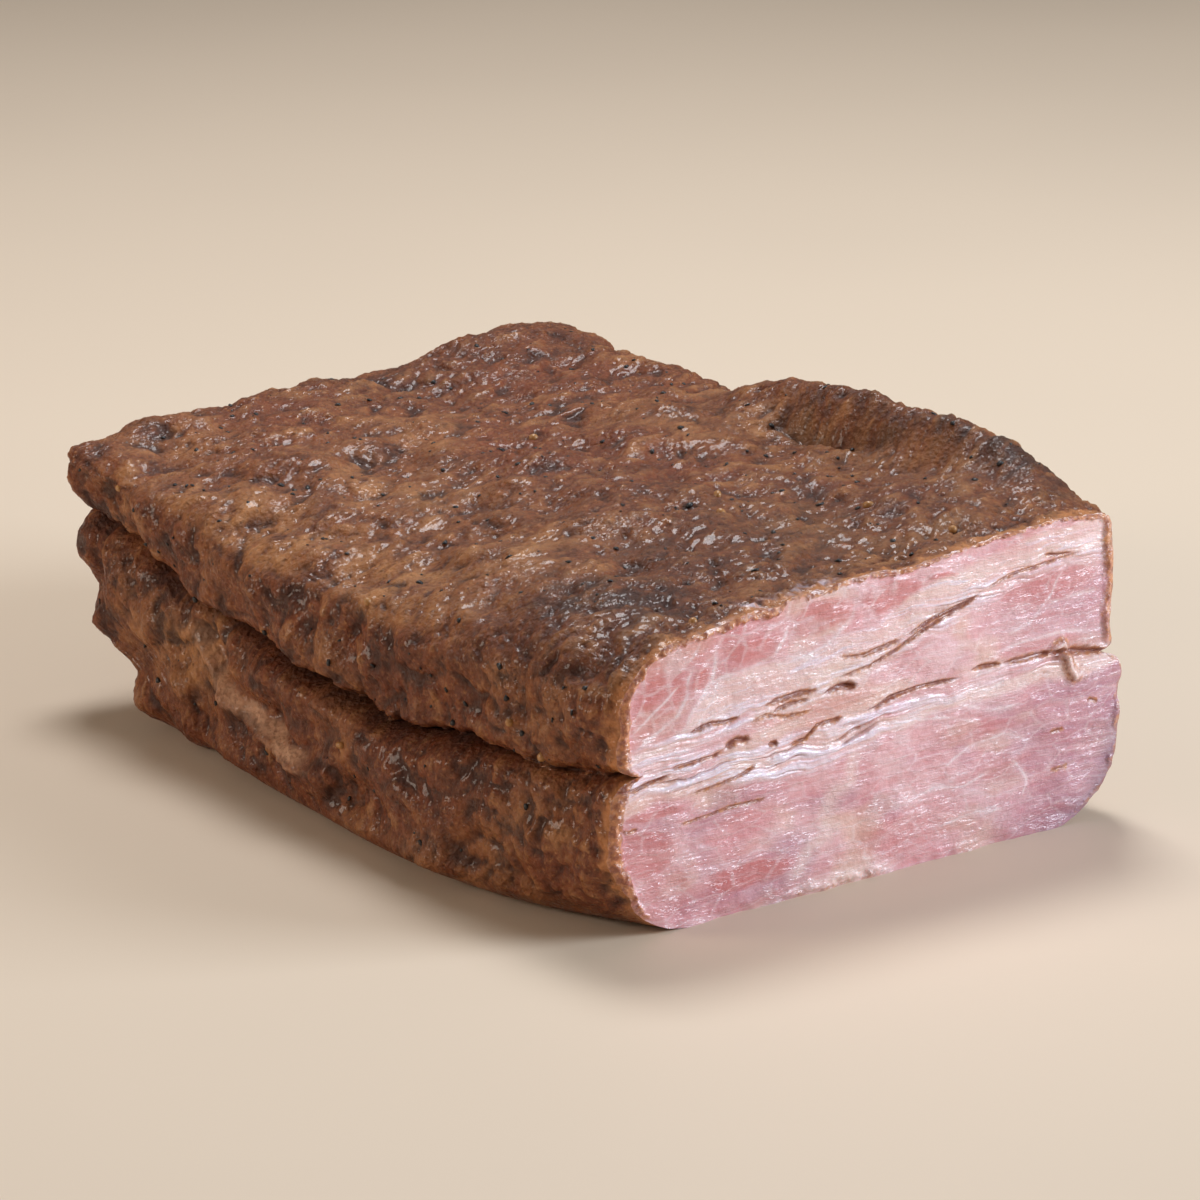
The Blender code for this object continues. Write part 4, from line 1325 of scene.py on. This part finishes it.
def surface_places(share):
    """Where points of the block lie on the crust, in metres, and which way the crust faces there.

    The facing is the cross product of the ways to two places that are a small share away.
    """
    small = 1e-3
    _, moved, paint = crust(share)
    centre = in_place(moved)
    inward = np.where(share < 0.5, small, -small)
    on_face = (share < 1e-6) | (share > 1 - 1e-6)
    free = np.array([np.flatnonzero(~row)[:2] for row in on_face])
    ways = []
    for axis in free.T:
        step = np.zeros_like(share)
        step[np.arange(len(share)), axis] = 1.0
        ways.append(in_place(crust(share + step * inward)[1]) - centre)
    facing = np.cross(*ways)
    facing /= np.linalg.norm(facing, axis=1)[:, None]
    facing *= np.sign((facing * paint["outward"]).sum(1))[:, None]
    return centre, facing


def scattered(name, share, sizes, body, squash, jitter, draw, material):
    """Joins many small bodies into one piece: each a turned, squashed and jittered copy, half sunk in.

    A body's own axes are two random directions in the surface and the facing.
    """
    places, facings = surface_places(share)
    corners, faces = body
    count = len(places)
    first = np.cross(facings, draw.normal(size=(count, 3)))
    first /= np.linalg.norm(first, axis=1)[:, None]
    second = np.cross(facings, first)
    shape = corners[None] * (1 + jitter * draw.uniform(-1, 1, (count, len(corners), 1)))
    spread = [draw.uniform(0.8, 1.25, count), draw.uniform(0.7, 1.0, count), np.full(count, squash)]
    shape = shape * (sizes[:, None] * np.stack(spread, 1))[:, None, :]
    points = places[:, None] + np.einsum("nki,nij->nkj", shape, np.stack([first, second, facings], 1))
    numbers = faces[None] + (np.arange(count) * len(corners))[:, None, None]
    finish_piece(name, points.reshape(-1, 3), numbers.reshape(-1, 3).tolist(), {}, material)


def random_shares(draw, count, top_part, near_part):
    """Random block places: the given parts of them on the top and the near side, the rest behind."""
    share = draw.uniform(0.03, 0.97, (count, 3))
    pick = draw.uniform(size=count)
    share[:, 2] = np.where(pick < top_part, 1.0, 0.08 + 0.86 * share[:, 2])
    near = (pick >= top_part) & (pick < top_part + near_part)
    share[:, 1] = np.where(near, 0.0, share[:, 1])
    rest = pick >= top_part + near_part
    back = rest & (pick > 1 - (1 - top_part - near_part) * 0.4)
    share[:, 0] = np.where(back, 1.0, share[:, 0])
    share[:, 1] = np.where(rest & ~back, 1.0, share[:, 1])
    return share


class BRISKET_OT_pepper(Operator):
    """Scatters cracked black pepper over the crust, half sunk in it."""

    bl_idname = "brisket.pepper"
    bl_label = "Pepper"

    def execute(self, context):
        settings = context.scene.brisket
        draw = np.random.default_rng(SEED_SPICE)
        share = random_shares(draw, settings.pepper_count, 0.66, 0.18)
        sizes = settings.pepper_size / 2 * draw.uniform(0.35, 1.15, len(share)) ** 1.2
        material = spice_material("black_pepper", settings.pepper, srgb(20, 18, 20), 0.55)
        scattered("pepper", share, sizes, icosahedron(), 0.5, 0.3, draw, material)
        return {"FINISHED"}


class BRISKET_OT_seeds(Operator):
    """Sets whole mustard seeds on the crust, half sunk in it."""

    bl_idname = "brisket.seeds"
    bl_label = "Mustard seeds"

    def execute(self, context):
        settings = context.scene.brisket
        draw = np.random.default_rng(SEED_SPICE + 1)
        share = random_shares(draw, settings.seed_count, 0.6, 0.2)
        placed = np.array(SEED_PLACES) + np.array(MIDDLE)
        own = np.ones((len(placed), 3))
        own[:, 0] = (CUT_X - placed[:, 0]) / LENGTH
        own[:, 1] = (placed[:, 1] - NEAR_SIDE_UPPER[0]) / WIDTH
        share = np.concatenate([own, share])
        sizes = settings.seed_size / 2 * draw.uniform(0.85, 1.05, len(share))
        material = spice_material("mustard_seed", settings.mustard, srgb(176, 124, 72), 0.4)
        body = halved_faces(*halved_faces(*icosahedron()))
        scattered("mustard_seeds", share, sizes, body, 0.9, 0.02, draw, material)
        return {"FINISHED"}


class BRISKET_OT_studio(Operator):
    """Builds the plain pale floor, the soft lights and the camera."""

    bl_idname = "brisket.studio"
    bl_label = "Studio"

    def execute(self, context):
        settings = context.scene.brisket
        scene = context.scene
        mesh = bpy.data.meshes.new("floor")
        corners = [(x * FLOOR_HALF, y * FLOOR_HALF, 0) for x, y in ((-1, -1), (1, -1), (1, 1), (-1, 1))]
        mesh.from_pydata(corners, [], [(0, 1, 2, 3)])
        material, tree, shader = new_material("plain_floor")
        tone = ranged(tree, object_noise(tree, 3, 2), 0.3, 0.7)
        darker = tuple(channel * 0.96 for channel in settings.floor)
        feed(tree, shader, {"Base Color": mixed(tree, tone, settings.floor, darker), "Roughness": 0.6})
        mesh.materials.append(material)
        add_object(scene, "floor", mesh)
        add_light(scene, "window", (0.85, 0.90, 0.55), 0.6, settings.key_power, (0.80, 0.89, 1.0))
        add_light(scene, "overhead", (-0.40, 0.25, 1.05), 0.36, settings.fill_power, (0.96, 0.97, 1.0))
        add_light(scene, "side", (-0.40, -1.0, 0.42), 0.36, settings.side_power, (1.0, 0.87, 0.74))
        scene.world = bpy.data.worlds.new("studio")
        scene.world.use_nodes = True
        tree = scene.world.node_tree
        feed(tree, tree.nodes["Background"], {"Color": (1.0, 0.86, 0.72, 1.0), "Strength": 0.16})
        camera = bpy.data.cameras.new("camera")
        camera.lens = CAMERA_LENS
        camera.sensor_width = CAMERA_SENSOR
        camera.clip_start = 0.05
        scene.camera = add_object(scene, "camera", camera, CAMERA_PLACE)
        scene.camera.rotation_euler = (math.radians(90 - CAMERA_DIP), 0.0, math.radians(CAMERA_TURN))
        scene.view_settings.view_transform = "Standard"
        return {"FINISHED"}


def add_object(scene, name, data, place=(0.0, 0.0, 0.0)):
    """A new object with this data at a place in the scene."""
    made = bpy.data.objects.new(name, data)
    made.location = place
    scene.collection.objects.link(made)
    return made


def add_light(scene, name, place, size, power, colour):
    """A soft square light at a place, turned to the middle of the piece."""
    light = bpy.data.lights.new(name, "AREA")
    light.size = size
    light.energy = power
    light.color = colour
    aim = Vector((0.0, 0.0, 0.04)) - Vector(place)
    add_object(scene, name, light, place).rotation_euler = aim.to_track_quat("-Z", "Y").to_euler()


class BRISKET_PT_panel(Panel):
    """Lists the pieces and their settings in the sidebar."""

    bl_label = "Cooked Brisket"
    bl_idname = "BRISKET_PT_panel"
    bl_space_type = "VIEW_3D"
    bl_region_type = "UI"
    bl_category = "Brisket"

    def draw(self, context):
        settings = context.scene.brisket
        for name in settings.bl_rna.properties.keys():
            if name not in ("rna_type", "name"):
                self.layout.prop(settings, name)
        for operator in OPERATORS:
            self.layout.operator(operator.bl_idname)


OPERATORS = (
    BRISKET_OT_studio,
    BRISKET_OT_top_crust,
    BRISKET_OT_upper_sides,
    BRISKET_OT_lower_crust,
    BRISKET_OT_cut_face,
    BRISKET_OT_pepper,
    BRISKET_OT_seeds,
)
CLASSES = (BrisketSettings, *OPERATORS, BRISKET_PT_panel)


def register():
    """Registers the settings, the operators and the panel."""
    for kind in CLASSES:
        bpy.utils.register_class(kind)
    bpy.types.Scene.brisket = PointerProperty(type=BrisketSettings)


def unregister():
    """Takes the settings, the operators and the panel away again."""
    del bpy.types.Scene.brisket
    for kind in reversed(CLASSES):
        bpy.utils.unregister_class(kind)


def main():
    """Registers the classes, and builds the studio and every piece."""
    register()
    for operator in OPERATORS:
        group, name = operator.bl_idname.split(".")
        getattr(getattr(bpy.ops, group), name)()


if __name__ == "__main__":
    main()
